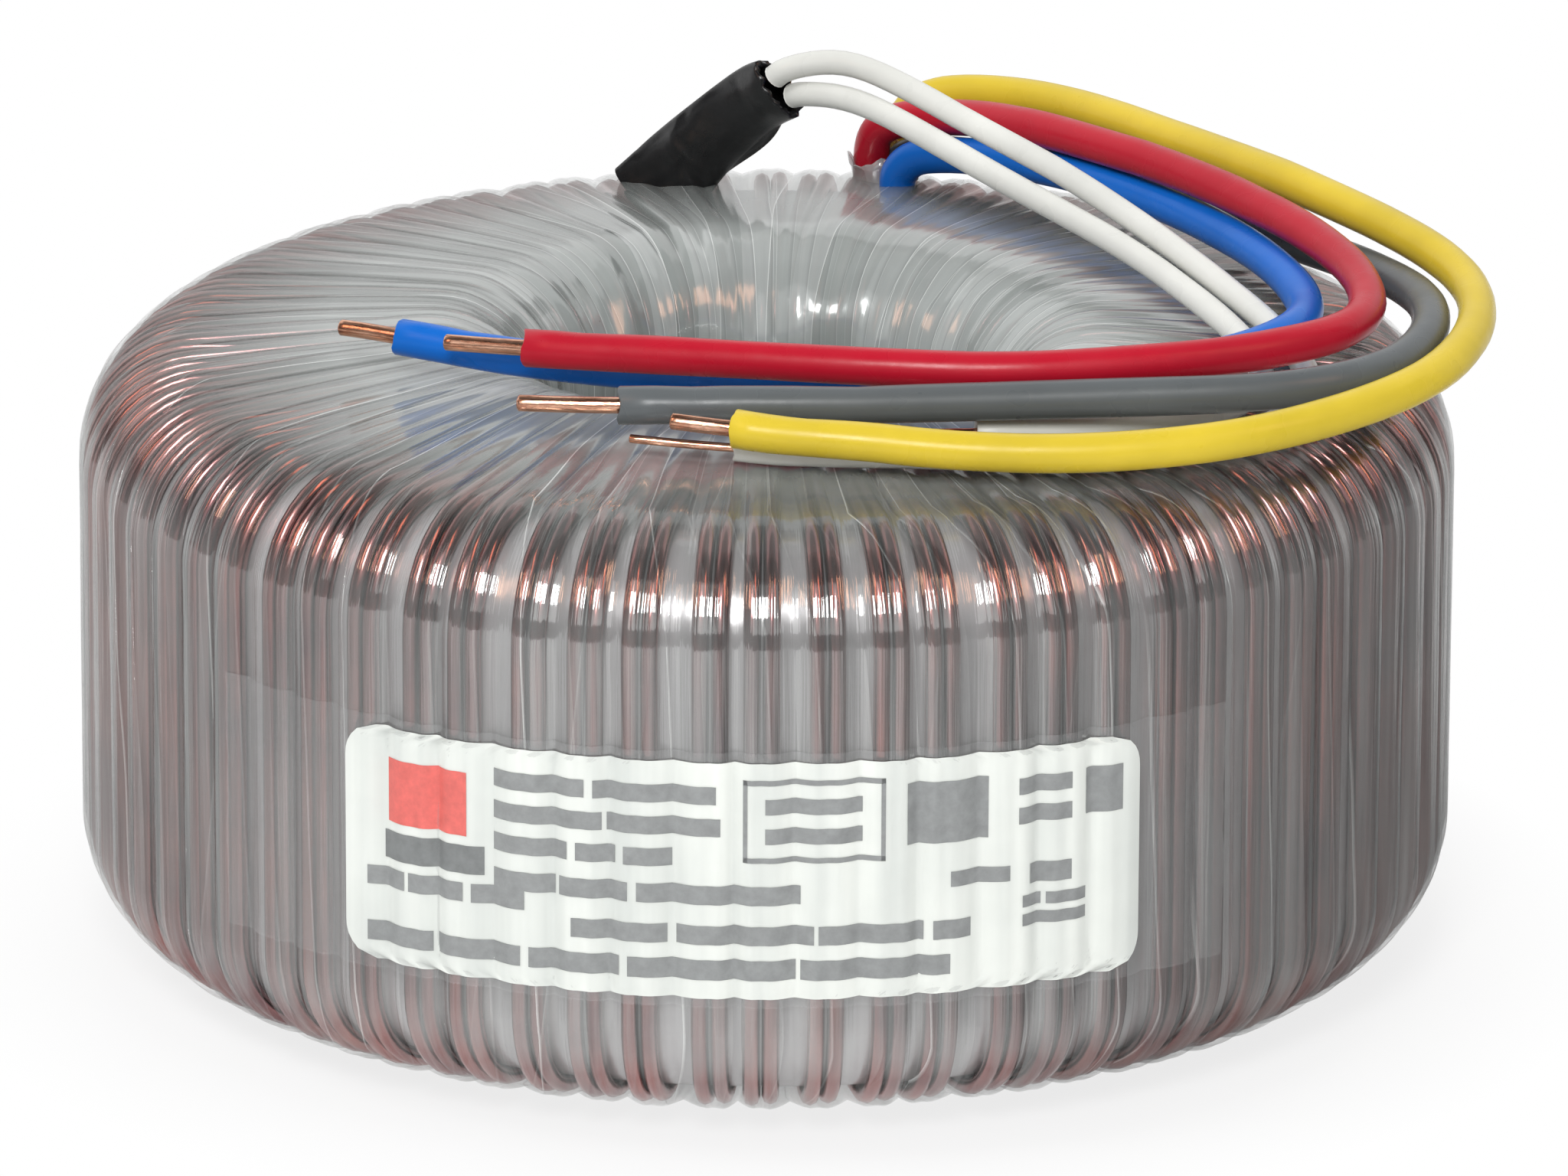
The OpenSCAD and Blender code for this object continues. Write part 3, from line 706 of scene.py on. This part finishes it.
def wall_radius(angle):
    """Radius of the film's outer face on the wall at an angle, without fine noise."""
    a = angle % 360
    i = int(np.argmin(np.abs((PAIRS - a + 180) % 360 - 180)))
    c = PAIRS[i]
    d = (a - c + 180) % 360 - 180
    other = PAIRS[i + 1] if d > 0 and i + 1 < len(PAIRS) else PAIRS[i - 1]
    hg = abs((other - c + 180) % 360 - 180) / 2 * WALL_DEG
    return BODY_R - float(wall_profile(np.array(d * WALL_DEG), max(hg, 1.2)))


def on_wall(angle, z, follow, out):
    """Point at an angle from the front that stands off the film, which it follows in part."""
    r = BODY_R - (BODY_R - wall_radius(270 + angle)) * follow + out
    a = math.radians(270 + angle)
    return (r * math.cos(a), r * math.sin(a), z)


def wall_patch(name, place, follow, out, mat, columns, rows, corner=0.0, ragged=0.0):
    """A thin sheet on the wall with rounded corners or ragged ends."""
    a0, a1, z0, z1 = place
    verts, uvs = [], []
    span = math.radians(a1 - a0) * BODY_R
    g = np.random.default_rng(int(a0 * 10) + 991)
    rag = g.uniform(-1, 1, rows + 1) * ragged
    for i in range(rows + 1):
        h = (z1 - z0) * i / rows
        from_edge = min(h, z1 - z0 - h)
        inset = rag[i]
        if from_edge < corner:
            inset += corner - math.sqrt(max(0.0, corner**2 - (corner - from_edge) ** 2))
        for j in range(columns + 1):
            x = inset + (span - 2 * inset) * j / columns
            verts.append(on_wall(a0 + math.degrees(x / BODY_R), z0 + h, follow, out))
            uvs.append((x / span, i / rows))
    return new_mesh(name, verts, grid_faces(rows + 1, columns + 1), mat, uvs)


def paper_material():
    """Pale paper, lighter and darker in upright bands of painted shade and reflection, set by noise and not
    by the grooves.
    """
    k = Mat("label_paper")
    obj = k.coords("Object")
    n = k.noise(obj, 45, 4, 0.6)
    f = k.noise(obj, 1800, 2, 0.5)
    # painted shade and reflection: upright bands that lighten and darken the paper
    shade_bands = k.noise(k.scaled(obj, (1, 1, 0.03)), 210, 3, 0.6)
    shade = k.math("ADD", k.math("MULTIPLY", n, 0.4), k.math("MULTIPLY", shade_bands, 0.6))
    return k.set(
        Base_Color=k.mix(k.rng(shade, 0.38, 0.62, 0, 1), (0.64, 0.67, 0.64), (0.82, 0.845, 0.80)),
        Roughness=k.rng(f, 0.3, 0.7, 0.38, 0.5),
        Normal=k.bump(f, 0.08, 0.00005),
    )


def clear_material(name, alpha, colour):
    """Clear tape that veils what lies below it a little."""
    k = Mat(name)
    n = k.noise(k.coords("Object"), 80, 3, 0.6)
    return k.set(
        Base_Color=colour,
        Roughness=0.12,
        Metallic=0.3,
        Alpha=k.rng(n, 0.3, 0.7, alpha * 0.8, alpha * 1.2),
        Normal=k.bump(n, 0.2, 0.0002),
    )


label = wall_patch("label_sheet", LABEL, LABEL_FOLLOW, LABEL_OUT, paper_material(), LABEL_COLUMNS, 34,
                   corner=LABEL_CORNER_R)
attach(label, "root")
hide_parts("label")
strip = wall_patch("label_tape_sheet", STRIP, STRIP_FOLLOW, STRIP_OUT,
                   clear_material("clear_tape", 0.14, (0.62, 0.63, 0.63)), 230, 12, ragged=0.22)
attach(strip, "root")
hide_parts("label_tape")


def print_bars():
    """Plain bars where such a label is printed, as shares of its width and height from top left."""
    # ends, top and height of each row, and the lengths of its bars in proportion
    rows = [
        (0.20, 0.47, 0.10, 0.075, [4, 5]),
        (0.20, 0.48, 0.235, 0.075, [5, 5]),
        (0.20, 0.42, 0.37, 0.075, [4, 2, 2.4]),
        (0.20, 0.575, 0.52, 0.08, [4, 4.4, 10]),
        (0.03, 0.24, 0.60, 0.08, [3, 4.4, 4]),
        (0.30, 0.78, 0.69, 0.08, [5, 7, 5.5, 2]),
        (0.03, 0.75, 0.835, 0.085, [4, 5, 5, 9, 8]),
        (0.755, 0.83, 0.485, 0.065, [5]),
        (0.84, 0.925, 0.62, 0.05, [2, 4]),
        (0.84, 0.925, 0.70, 0.05, [4]),
    ]
    gap = 0.009
    rects = []
    for u0, u1, top, high, bars in rows:
        share = (u1 - u0 - gap * (len(bars) - 1)) / sum(bars)
        for size in bars:
            rects.append((u0, u0 + size * share, top, top + high))
            u0 += size * share + gap
    # an outlined field with two bars
    left, right, top, low, tall, wide = 0.505, 0.672, 0.07, 0.42, 0.022, 0.006
    rects += [(left, right, top, top + tall), (left, right, low - tall, low)]
    rects += [(left, left + wide, top, low), (right - wide, right, top, low)]
    rects += [(0.53, 0.648, 0.15, 0.215), (0.53, 0.648, 0.275, 0.34)]
    # plain fields beside it
    rects += [(0.70, 0.80, 0.10, 0.36), (0.835, 0.905, 0.12, 0.19), (0.835, 0.905, 0.245, 0.315)]
    rects += [(0.925, 0.975, 0.12, 0.315), (0.855, 0.91, 0.49, 0.575)]
    return rects


def bars_mesh(name, rects, mat):
    """Flat bars on the label that share the columns of its mesh, so that it never comes through."""
    verts, faces = [], []
    a0, a1, z0, z1 = LABEL
    for u0, u1, v0, v1 in rects:
        n = max(1, round((u1 - u0) * LABEL_COLUMNS))
        first = round(u0 * LABEL_COLUMNS)
        base = len(verts)
        for v in (v0, v1):
            for j in range(n + 1):
                angle = a0 + (a1 - a0) * (first + j) / LABEL_COLUMNS
                verts.append(on_wall(angle, z1 - (z1 - z0) * v, LABEL_FOLLOW, PRINT_OUT))
        for j in range(n):
            faces.append((base + j, base + n + 1 + j, base + n + 2 + j, base + j + 1))
    return new_mesh(name, verts, faces, mat)


PRINTS = [
    ("label_print", print_bars(), "label_ink", (0.27, 0.28, 0.28)),
    ("label_fields", [(0.06, 0.17, 0.13, 0.40)], "label_ink_red", (0.72, 0.15, 0.13)),
    ("label_fields_grey", [(0.05, 0.185, 0.44, 0.56)], "label_ink_grey", (0.20, 0.21, 0.21)),
]
for name, rects, ink, colour in PRINTS:
    ob = bars_mesh(name, rects, simple(ink, colour, 0.5, 0.0, 900))
    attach(ob, "root")


# ---------------- leads
# routes from the exit to the cut end of the sleeving, as in the part's source
ROUTES = {
    "red": [[10, 55, 66.8], [11.4, 54.8, 67], [17, 52, 68.2], [25, 43, 70.4], [34, 31.5, 71],
            [43, 19.5, 71.4], [51, 7, 71.2], [57, -7, 70.2], [58, -17, 69.4], [54.5, -25, 69.2],
            [46.5, -30.5, 69], [36, -34, 69], [24, -36, 69], [10, -35, 69], [-7, -31, 68.6],
            [-23, -27, 68.2]],
    "blue": [[10, 51.5, 63.8], [11.4, 51.3, 64], [17, 49, 65], [25, 42.5, 66.2], [33, 33.5, 67],
             [41, 22.5, 67.3], [47, 11, 67.4], [51, 0, 67.2], [52.5, -9, 67], [50.5, -17.5, 67],
             [44.5, -23, 66.4], [35, -25.5, 65.6], [22, -26.5, 65.3], [6, -27, 65.2], [-10, -25.5, 65.2],
             [-23, -22.5, 65.5], [-35.5, -18, 66.5]],
    "yellow": [[10, 60, 67], [11.4, 60, 67.2], [18.5, 59, 68.6], [28, 52.5, 70], [37.5, 40, 71],
               [46.5, 26.5, 71.3], [55, 14, 71.2], [63, 2.5, 70.6], [68, -8, 69.4], [68.5, -19, 68.2],
               [64, -31, 67], [55, -40.5, 66.2], [44, -46.5, 65.5], [31, -49.2, 65], [18, -49.2, 65.1],
               [7, -48.5, 65.9], [-3, -47, 66.5]],
    "grey": [[10, 56.5, 63.5], [11.4, 56.3, 63.6], [19, 53.5, 63.9], [28, 46.5, 64.6], [37, 36.5, 65.2],
             [46, 25, 65.8], [54, 13, 66.4], [60.5, 1, 67.2], [64, -11, 67.8], [63.5, -22, 68],
             [58.5, -32, 67.8], [49, -37.5, 67.6], [36, -39, 67.3], [22, -40, 67.1], [6, -41.5, 67.1],
             [-14, -42, 67.2]],
    "white_1": [[2.5, 41.8, 73.4], [3.5, 40.8, 73.9], [7.6, 37.6, 74.5], [14, 31, 73.4], [22, 22, 71.2],
                [30, 12, 69.5], [37.5, 3, 67.6], [43, -5, 65.6], [47, -14, 64], [47.5, -23.5, 63.4],
                [42.5, -31.5, 63.3], [33, -36.5, 63.4], [20, -39, 63.7]],
    "white_2": [[0.7, 41.7, 75.4], [1.7, 41.1, 76.3], [7.6, 40.3, 77.4], [15, 35, 75.8], [23, 26.5, 73.6],
                [31, 16.5, 71.6], [39, 6, 69.2], [45.5, -2.5, 66.6], [50.5, -12, 64.2], [52.5, -24, 62.9],
                [46.5, -36, 62.8], [35, -43, 62.95], [22, -45.8, 63.25], [9, -45.8, 63.5],
                [-3, -44.8, 63.9]],
}
LEADS = {
    # outer diameter, bare diameter, bare length, bend of the bare end, colour
    "red": (3.7, 1.6, 8.0, 0.15, (0.46, 0.008, 0.024)),
    "blue": (3.7, 1.6, 6.0, -0.25, (0.002, 0.13, 0.55)),
    "yellow": (3.8, 1.6, 6.0, 0.1, (0.66, 0.49, 0.035)),
    "grey": (3.7, 1.6, 9.5, 0.2, (0.105, 0.115, 0.12)),
    "white_1": (2.5, 0.85, 10.0, 0.2, (0.70, 0.70, 0.66)),
    "white_2": (2.5, 0.85, 10.0, 0.35, (0.70, 0.70, 0.66)),
}
# at the back each thick lead turns up out of the film; this bend takes the place of its route's first points
ROOTS = {
    "red": [[10.6, 55.5, 60.8], [10.6, 55.3, 64.2], [11.7, 54.9, 66.5]],
    "blue": [[13.2, 51.0, 60.6], [13.2, 50.8, 62.7], [14.5, 50.2, 64.3]],
    "yellow": [[13.6, 60.2, 60.8], [13.7, 60.1, 64.5], [14.9, 59.8, 67.2]],
    "grey": [[13.5, 56.0, 60.6], [13.6, 55.8, 62.4], [15.0, 55.0, 63.5]],
}
ROUTE_POINTS_REPLACED = 2


def lead_path(name):
    root = ROOTS.get(name, [])
    return smooth_path(root + ROUTES[name][ROUTE_POINTS_REPLACED if root else 0:], 6, 1)


def hump(x, centre, width):
    return np.exp(-(((x - centre) / width) ** 2))


def turned(x, y, w):
    """Direction at angle w between two cross directions."""
    return math.cos(w) * x + math.sin(w) * y


def lead_mesh(name, path, d, bare_d, mat, sides, seed):
    """A lead with a slightly uneven skin, dents near its cut end and a recessed end face."""
    n = len(path)
    t, x, y = frames(path)
    s = np.r_[0, np.cumsum(np.linalg.norm(np.diff(path, axis=0), axis=1))]
    left = s[-1] - s
    g = np.random.default_rng(seed + 5)
    oval = wave(n, n // 7, seed, 0.018)
    dent = wave(n, n // 5, seed + 2, 0.02) * np.exp(-left / 26)
    pinch = 0.07 * hump(left, 6.5, 2.2) + 0.10 * hump(left, g.uniform(17, 24), 3.0)
    turn = wave(n, n // 10, seed + 1, 0.9) + 1.4 * hump(left, 20, 9)
    # small sways, none at the root and at the cut end
    keep = np.clip(s / 12, 0, 1) * np.clip(left / 4, 0, 1)
    sway_x, sway_y = wave(n, n // 9, seed + 8, 0.16) * keep, wave(n, n // 8, seed + 9, 0.10) * keep
    path = path + x * sway_x[:, None] + y * sway_y[:, None]
    round_angles = [2 * math.pi * k / sides for k in range(sides)]
    verts = []
    for i in range(n):
        for w in round_angles:
            pressed = pinch[i] * max(0, math.cos(w - turn[i])) ** 2
            r = d / 2 * (1 + oval[i] * math.cos(2 * (w + turn[i])) + dent[i] - pressed)
            verts.append(path[i] + r * turned(x[i], y[i], w))
    ragged = g.normal(0, 0.16, sides)
    ragged = (ragged + np.roll(ragged, 1) + np.roll(ragged, -1)) / 2
    for k in range(sides):
        verts[(n - 1) * sides + k] = verts[(n - 1) * sides + k] + t[-1] * ragged[k]
    # rounded lip, end face and bore: share of the radius, way outwards and share of the raggedness
    bore = bare_d / d
    end_rings = ((0.93, 0.10, 1), (0.72, 0.04, 1), (bore * 1.18, -0.05, 0), (bore * 1.10, -1.2, 0))
    for shrink, out, rag in end_rings:
        for k, w in enumerate(round_angles):
            go = out + rag * ragged[k]
            verts.append(path[-1] + d / 2 * shrink * turned(x[-1], y[-1], w) + t[-1] * go)
    start = len(verts)
    verts.append(path[0])
    faces = [f[::-1] for f in grid_faces(n + len(end_rings), sides, True)]
    for k in range(sides):
        faces.append((start, k, (k + 1) % sides)[::-1])
    return new_mesh(name, verts, faces, mat)


def pvc_material(name, colour):
    k = Mat("pvc_" + name)
    obj = k.coords("Object")
    n = k.noise(obj, 60, 4, 0.6)
    f = k.noise(obj, 1500, 3, 0.6)
    m = k.noise(obj, 260, 2, 0.5)
    dark = tuple(c * 0.88 for c in colour)
    light = tuple(min(1, c * 1.06) for c in colour)
    return k.set(
        Base_Color=k.blend(n, dark, light),
        Roughness=k.rng(m, 0.3, 0.7, 0.24, 0.36),
        Specular_IOR_Level=0.28,
        Normal=k.bump(m, 0.16, 0.0003, k.bump(f, 0.12, 0.00006)),
    )


def bare_material():
    """Drawn copper: long dark marks along the wire, which the tips' own map carries."""
    k = Mat("bare_copper")
    uv = k.node("ShaderNodeUVMap", uv_map="UVMap").outputs[0]
    marks = k.noise(k.scaled(uv, (9.0, 0.35, 1)), 1.0, 4, 0.65)
    spot = k.noise(k.coords("Object"), 420, 3, 0.6)
    stops = [(0.30, (0.16, 0.055, 0.035)), (0.41, (0.60, 0.28, 0.175)), (0.58, (0.86, 0.50, 0.35))]
    colour = k.ramp(marks, stops)
    return k.set(
        Base_Color=k.mix(k.rng(spot, 0.55, 0.75, 0, 0.6), colour, (0.30, 0.12, 0.075)),
        Metallic=1.0,
        Roughness=k.rng(spot, 0.3, 0.7, 0.12, 0.24),
        Normal=k.bump(marks, 0.35, 0.00008),
    )


def tip_mesh(name, path, d, bare, bend, seed, mat):
    """Bared wire: leaves the lead along its line, bends slightly and ends in a rounded cut."""
    t, x, _ = frames(path)
    n, sides = 14, 14
    # it starts 1 mm inside the lead
    u = np.linspace(0, 1, n + 1)[:, None]
    pts = path[-1] + t[-1] * ((bare + 1) * u - 1) + x[-1] * bend * u**2
    tt, xx, yy = frames(pts)
    # centre, cross directions, share of the radius and place along the wire of every ring
    rings = [(pts[i], xx[i], yy[i], 1.0, i / n * (bare + 1)) for i in range(n + 1)]
    for shrink, go in ((0.94, 0.05 * d), (0.75, 0.13 * d), (0.35, 0.17 * d)):
        rings.append((pts[-1] + tt[-1] * go, xx[-1], yy[-1], shrink, bare + 1 + go))
    verts, uvs = [], []
    for centre, cx, cy, share, along in rings:
        for k in range(sides):
            verts.append(centre + d / 2 * share * turned(cx, cy, 2 * math.pi * k / sides))
            uvs.append((abs(k - sides / 2) / sides * 2 + seed, along))
    end = len(verts)
    verts.append(rings[-1][0])
    uvs.append((seed, bare + 2))
    last = (len(rings) - 1) * sides
    faces = [f[::-1] for f in grid_faces(len(rings), sides, True)]
    for k in range(sides):
        faces.append((end, last + (k + 1) % sides, last + k)[::-1])
    return new_mesh(name, verts, faces, mat, uvs)


copper = bare_material()
for q, (name, (d, bare_d, bare, bend, colour)) in enumerate(LEADS.items()):
    path = lead_path(name)
    skin = pvc_material(name, colour)
    ob = lead_mesh("lead_skin_" + name, path, d, bare_d, skin, 18 if d > 3 else 16, 11 + 7 * q)
    tip = tip_mesh("bare_end_" + name, path, bare_d, bare, bend, 5 + q, copper)
    slot_name = "pvc_" + name.split("_")[0]
    for piece, node, slot in ((ob, "lead_" + name, slot_name), (tip, "tip_" + name, "bare_copper")):
        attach(piece, "root")
        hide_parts(node)


# ---------------- sleeve and root tape
SLEEVE = [[-12.4, 52.6, 59.4], [-10.2, 51.4, 61.6], [-9.0, 50.5, 63.4], [-5.9, 48.3, 67.3],
          [-2.7, 45.9, 70.8], [-0.6, 44, 72.8], [1.2, 42.2, 74.1]]
ROOT_TAPE = [[11.4, 54.6, 60.0], [11.3, 54.5, 61.4], [11.2, 54.4, 62.8], [11.0, 54.3, 63.9]]


def flat_tube(name, path, widths, thick, wide_way, mat, sides, seed, wall, crease, ragged):
    """A flattened, creased tube, wide along wide_way, with an open ragged end and an inside wall."""
    n = len(path)
    t, _, _ = frames(path)
    g = np.random.default_rng(seed)
    creases = [wave(sides + 1, 5, seed + 3 + i, 1.0) for i in range(4)]
    rag = g.normal(0, ragged, sides)
    rag = (rag + np.roll(rag, 1)) / 1.6
    rings = []
    for i, u in enumerate(np.linspace(0, 1, n)):
        wide = np.array(wide_way, float)
        wide -= (wide @ t[i]) * t[i]
        wide /= np.linalg.norm(wide)
        flat = np.cross(t[i], wide)
        half = (widths[0] + (widths[1] - widths[0]) * u**2) / 2
        ring = []
        for k in range(sides):
            w = 2 * math.pi * k / sides
            f = sum(c[k] * math.sin(math.pi * (j + 1) * u + j) for j, c in enumerate(creases)) * crease
            ring.append(path[i] + (1 + f) * (half * math.cos(w) * wide + thick / 2 * math.sin(w) * flat))
        rings.append(np.array(ring))
    mouth = rings[-1] + t[-1] * rag[:, None]
    rings[-1] = mouth
    # the inside wall, from the mouth inwards
    for back, shrink in ((0.0, 1), (2.5, 1), (5.0, 0.96)):
        ring = mouth - t[-1] * back
        centre = path[-1] + ((ring - path[-1]) @ t[-1])[:, None] * t[-1]
        rings.append(centre + (ring - centre) * (1 - wall / (0.5 * thick)) * shrink)
    faces = [f[::-1] for f in grid_faces(len(rings), sides, True)]
    return new_mesh(name, np.concatenate(rings), faces, mat)


def sleeve_material():
    """Black heat-shrink film with soft folds."""
    k = Mat("sleeve_black")
    obj = k.coords("Object")
    n = k.noise(obj, 260, 4, 0.65)
    f = k.noise(obj, 2200, 2, 0.6)
    fold = k.noise(obj, 130, 2, 0.4, 0.6)
    return k.set(
        Base_Color=k.blend(n, (0.004, 0.004, 0.0045), (0.009, 0.009, 0.010)),
        Roughness=k.rng(n, 0.3, 0.7, 0.24, 0.36),
        Specular_IOR_Level=0.5,
        Normal=k.bump(fold, 0.8, 0.0016, k.bump(f, 0.15, 0.0001)),
    )


sleeve = flat_tube("sleeve_skin", smooth_path(SLEEVE, 7, 1), (8.7, 6.8), 3.4, [0.7, 0, -0.7],
                   sleeve_material(), sides=48, seed=77, wall=0.35, crease=0.04, ragged=0.3)
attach(sleeve, "root")
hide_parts("primary_sleeve")
root = flat_tube("root_tape_skin", np.array(ROOT_TAPE), (6.2, 5.4), 5.4, [1, 0, 0],
                 clear_material("root_tape_film", 0.50, (0.66, 0.66, 0.65)),
                 sides=28, seed=5, wall=0.12, crease=0.10, ragged=0.5)
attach(root, "root")
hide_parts("lead_root_tape")


# ---------------- floor and surroundings, in metres
# share of real shading in the shadow near the part, and how far from the middle it fades out
SHADOW_KEEP, SHADOW_FROM, SHADOW_TO = 0.2, 0.066, 0.085
# what reflections see of the table: in front and at the sides, more close by and behind, less on the right
TABLE_FRONT, TABLE_SIDE, TABLE_CLOSE, TABLE_BACK, TABLE_RIGHT_LESS = 1.0, 0.60, 0.25, 0.7, 0.36
TABLE_GREY = (0.8, 0.8, 0.8)
TABLE_HALF, TABLE_Z = 3.0, -0.0002
AMBIENT = 0.55
MIDDLE_Z = 0.03


def table_in_reflections(k, pos):
    """Strength of the table as reflections see it: bright in front and close by, darker to the sides."""
    x, y, _ = k.split(pos)
    side = k.math("ABSOLUTE", k.math("ARCTAN2", k.math("ADD", x, 0.004), k.math("MULTIPLY", y, -1.0)))
    dist = k.math("SQRT", k.math("ADD", k.math("MULTIPLY", x, x), k.math("MULTIPLY", y, y)))
    soft = "SMOOTHSTEP"
    front = k.rng(side, 0.25, 0.85, TABLE_FRONT, TABLE_SIDE, soft)
    right = k.rng(x, -0.05, 0.08, 0.0, TABLE_RIGHT_LESS, soft)
    close = k.rng(dist, 0.068, 0.110, TABLE_CLOSE, 0.0, soft)
    close = k.math("MULTIPLY", close, k.rng(x, -0.02, 0.07, 1.0, 0.2, soft))
    back = k.rng(side, 1.7, 2.3, 0.0, TABLE_BACK, soft)
    level = k.math("ADD", k.math("ADD", k.math("SUBTRACT", front, right), close), back)
    return k.math("MINIMUM", level, 1.0)


def ground_material():
    """White ground: reads white to the camera and in reflections, keeps a soft contact shadow."""
    m = bpy.data.materials.new("ground")
    k = Tree(m)
    rays = k.node("ShaderNodeLightPath").outputs
    pos = k.node("ShaderNodeNewGeometry").outputs["Position"]
    diffuse = k.node("ShaderNodeBsdfDiffuse")
    diffuse.inputs["Color"].default_value = (*TABLE_GREY, 1)
    glowing = k.mix_shader(rays["Is Glossy Ray"], k.emit(), k.emit(strength=table_in_reflections(k, pos)))
    away = k.node("ShaderNodeVectorMath", operation="LENGTH")
    k.link(pos, away.inputs[0])
    seen = k.math("MAXIMUM", rays["Is Camera Ray"], rays["Is Glossy Ray"])
    keep = k.rng(away.outputs["Value"], SHADOW_FROM, SHADOW_TO, SHADOW_KEEP, 0.0)
    k.surface(k.mix_shader(k.math("SUBTRACT", seen, keep), diffuse.outputs[0], glowing))
    return m


def stage_mesh(name, verts, faces, mat):
    """A surface in metres that isn't part of the object."""
    me = bpy.data.meshes.new(name)
    me.from_pydata(verts, [], faces)
    me.materials.append(mat)
    ob = bpy.data.objects.new(name, me)
    scene.collection.objects.link(ob)
    return ob


def studio_world():
    """White to the camera, in reflections and through the film, dimmer as light."""
    world = bpy.data.worlds.new("studio")
    scene.world = world
    k = Tree(world)
    rays = k.node("ShaderNodeLightPath").outputs
    seen = k.math("MAXIMUM", rays["Is Camera Ray"], rays["Is Glossy Ray"])
    seen = k.math("MAXIMUM", seen, rays["Is Transmission Ray"])
    dim, bright = (k.emit(strength=v, kind="ShaderNodeBackground") for v in (AMBIENT, 1.0))
    k.surface(k.mix_shader(seen, dim, bright), "ShaderNodeOutputWorld")


def from_part(az, el, dist):
    """Point at an azimuth and an elevation from the part's middle."""
    a, e = math.radians(az), math.radians(el)
    return (dist * math.cos(e) * math.cos(a), dist * math.cos(e) * math.sin(a), MIDDLE_Z + dist * math.sin(e))


def dome_card(name, az0, az1, el0, el1, radius, grey):
    """A grey studio surface round the part, part of a sphere, that only shows in reflections."""
    na, ne = 16, 8
    verts = [from_part(az0 + (az1 - az0) * j / na, el0 + (el1 - el0) * i / ne, radius)
             for i in range(ne + 1) for j in range(na + 1)]
    mat = bpy.data.materials.new(name)
    k = Tree(mat)
    k.surface(k.emit((grey, grey, grey)))
    ob = stage_mesh(name, verts, grid_faces(ne + 1, na + 1), mat)
    ob.visible_camera = ob.visible_diffuse = ob.visible_shadow = ob.visible_transmission = False
    ob.visible_volume_scatter = False


def lamp(name, az, el, dist, size, power, glossy=True, diffuse=True, tint=WHITE):
    """A rectangular lamp in metres and watts that looks at the part."""
    d = bpy.data.lights.new(name, "AREA")
    d.shape = "RECTANGLE"
    d.size, d.size_y = size
    d.energy = power
    d.color = tint
    ob = bpy.data.objects.new(name, d)
    scene.collection.objects.link(ob)
    ob.location = from_part(az, el, dist)
    ob.rotation_euler = (Vector((0, 0, MIDDLE_Z)) - Vector(ob.location)).to_track_quat("-Z", "Y").to_euler()
    ob.visible_glossy = glossy
    ob.visible_diffuse = diffuse


h = TABLE_HALF
table = [(-h, -h, TABLE_Z), (h, -h, TABLE_Z), (h, h, TABLE_Z), (-h, h, TABLE_Z)]
stage_mesh("ground", table, [(0, 1, 2, 3)], ground_material())
studio_world()

# azimuths, where 270 is the camera's side, then elevations, distance and grey
dome_card("dark_left", 165, 238, -2, 70, 2.2, 0.20)
dome_card("dark_right", 302, 375, -2, 70, 2.2, 0.12)
dome_card("dark_front_low", 238, 302, -2, 14, 2.25, 0.22)
dome_card("dark_above_front", 180, 360, 58, 90, 2.1, 0.06)
dome_card("dark_above_back", 0, 180, 54, 90, 2.1, 0.26)
dome_card("dark_back_low", 25, 155, -2, 15, 2.25, 0.66)

# the strips only light up the copper's reflections, and the last two softboxes only the surfaces
lamp("softbox_front", 264, 38, 1.2, (0.30, 0.34), 8.0)
lamp("strip_left", 218, 40, 1.3, (0.20, 0.5), 1.4, diffuse=False, tint=(1.0, 0.55, 0.36))
lamp("strip_right", 326, 42, 1.3, (0.22, 0.6), 2.0, diffuse=False, tint=(1.0, 0.50, 0.30))
lamp("softbox_left", 190, 50, 1.3, (0.5, 0.5), 4, glossy=False)
lamp("softbox_back", 75, 55, 1.3, (0.9, 0.5), 4, glossy=False)

scene.view_settings.view_transform = "Standard"
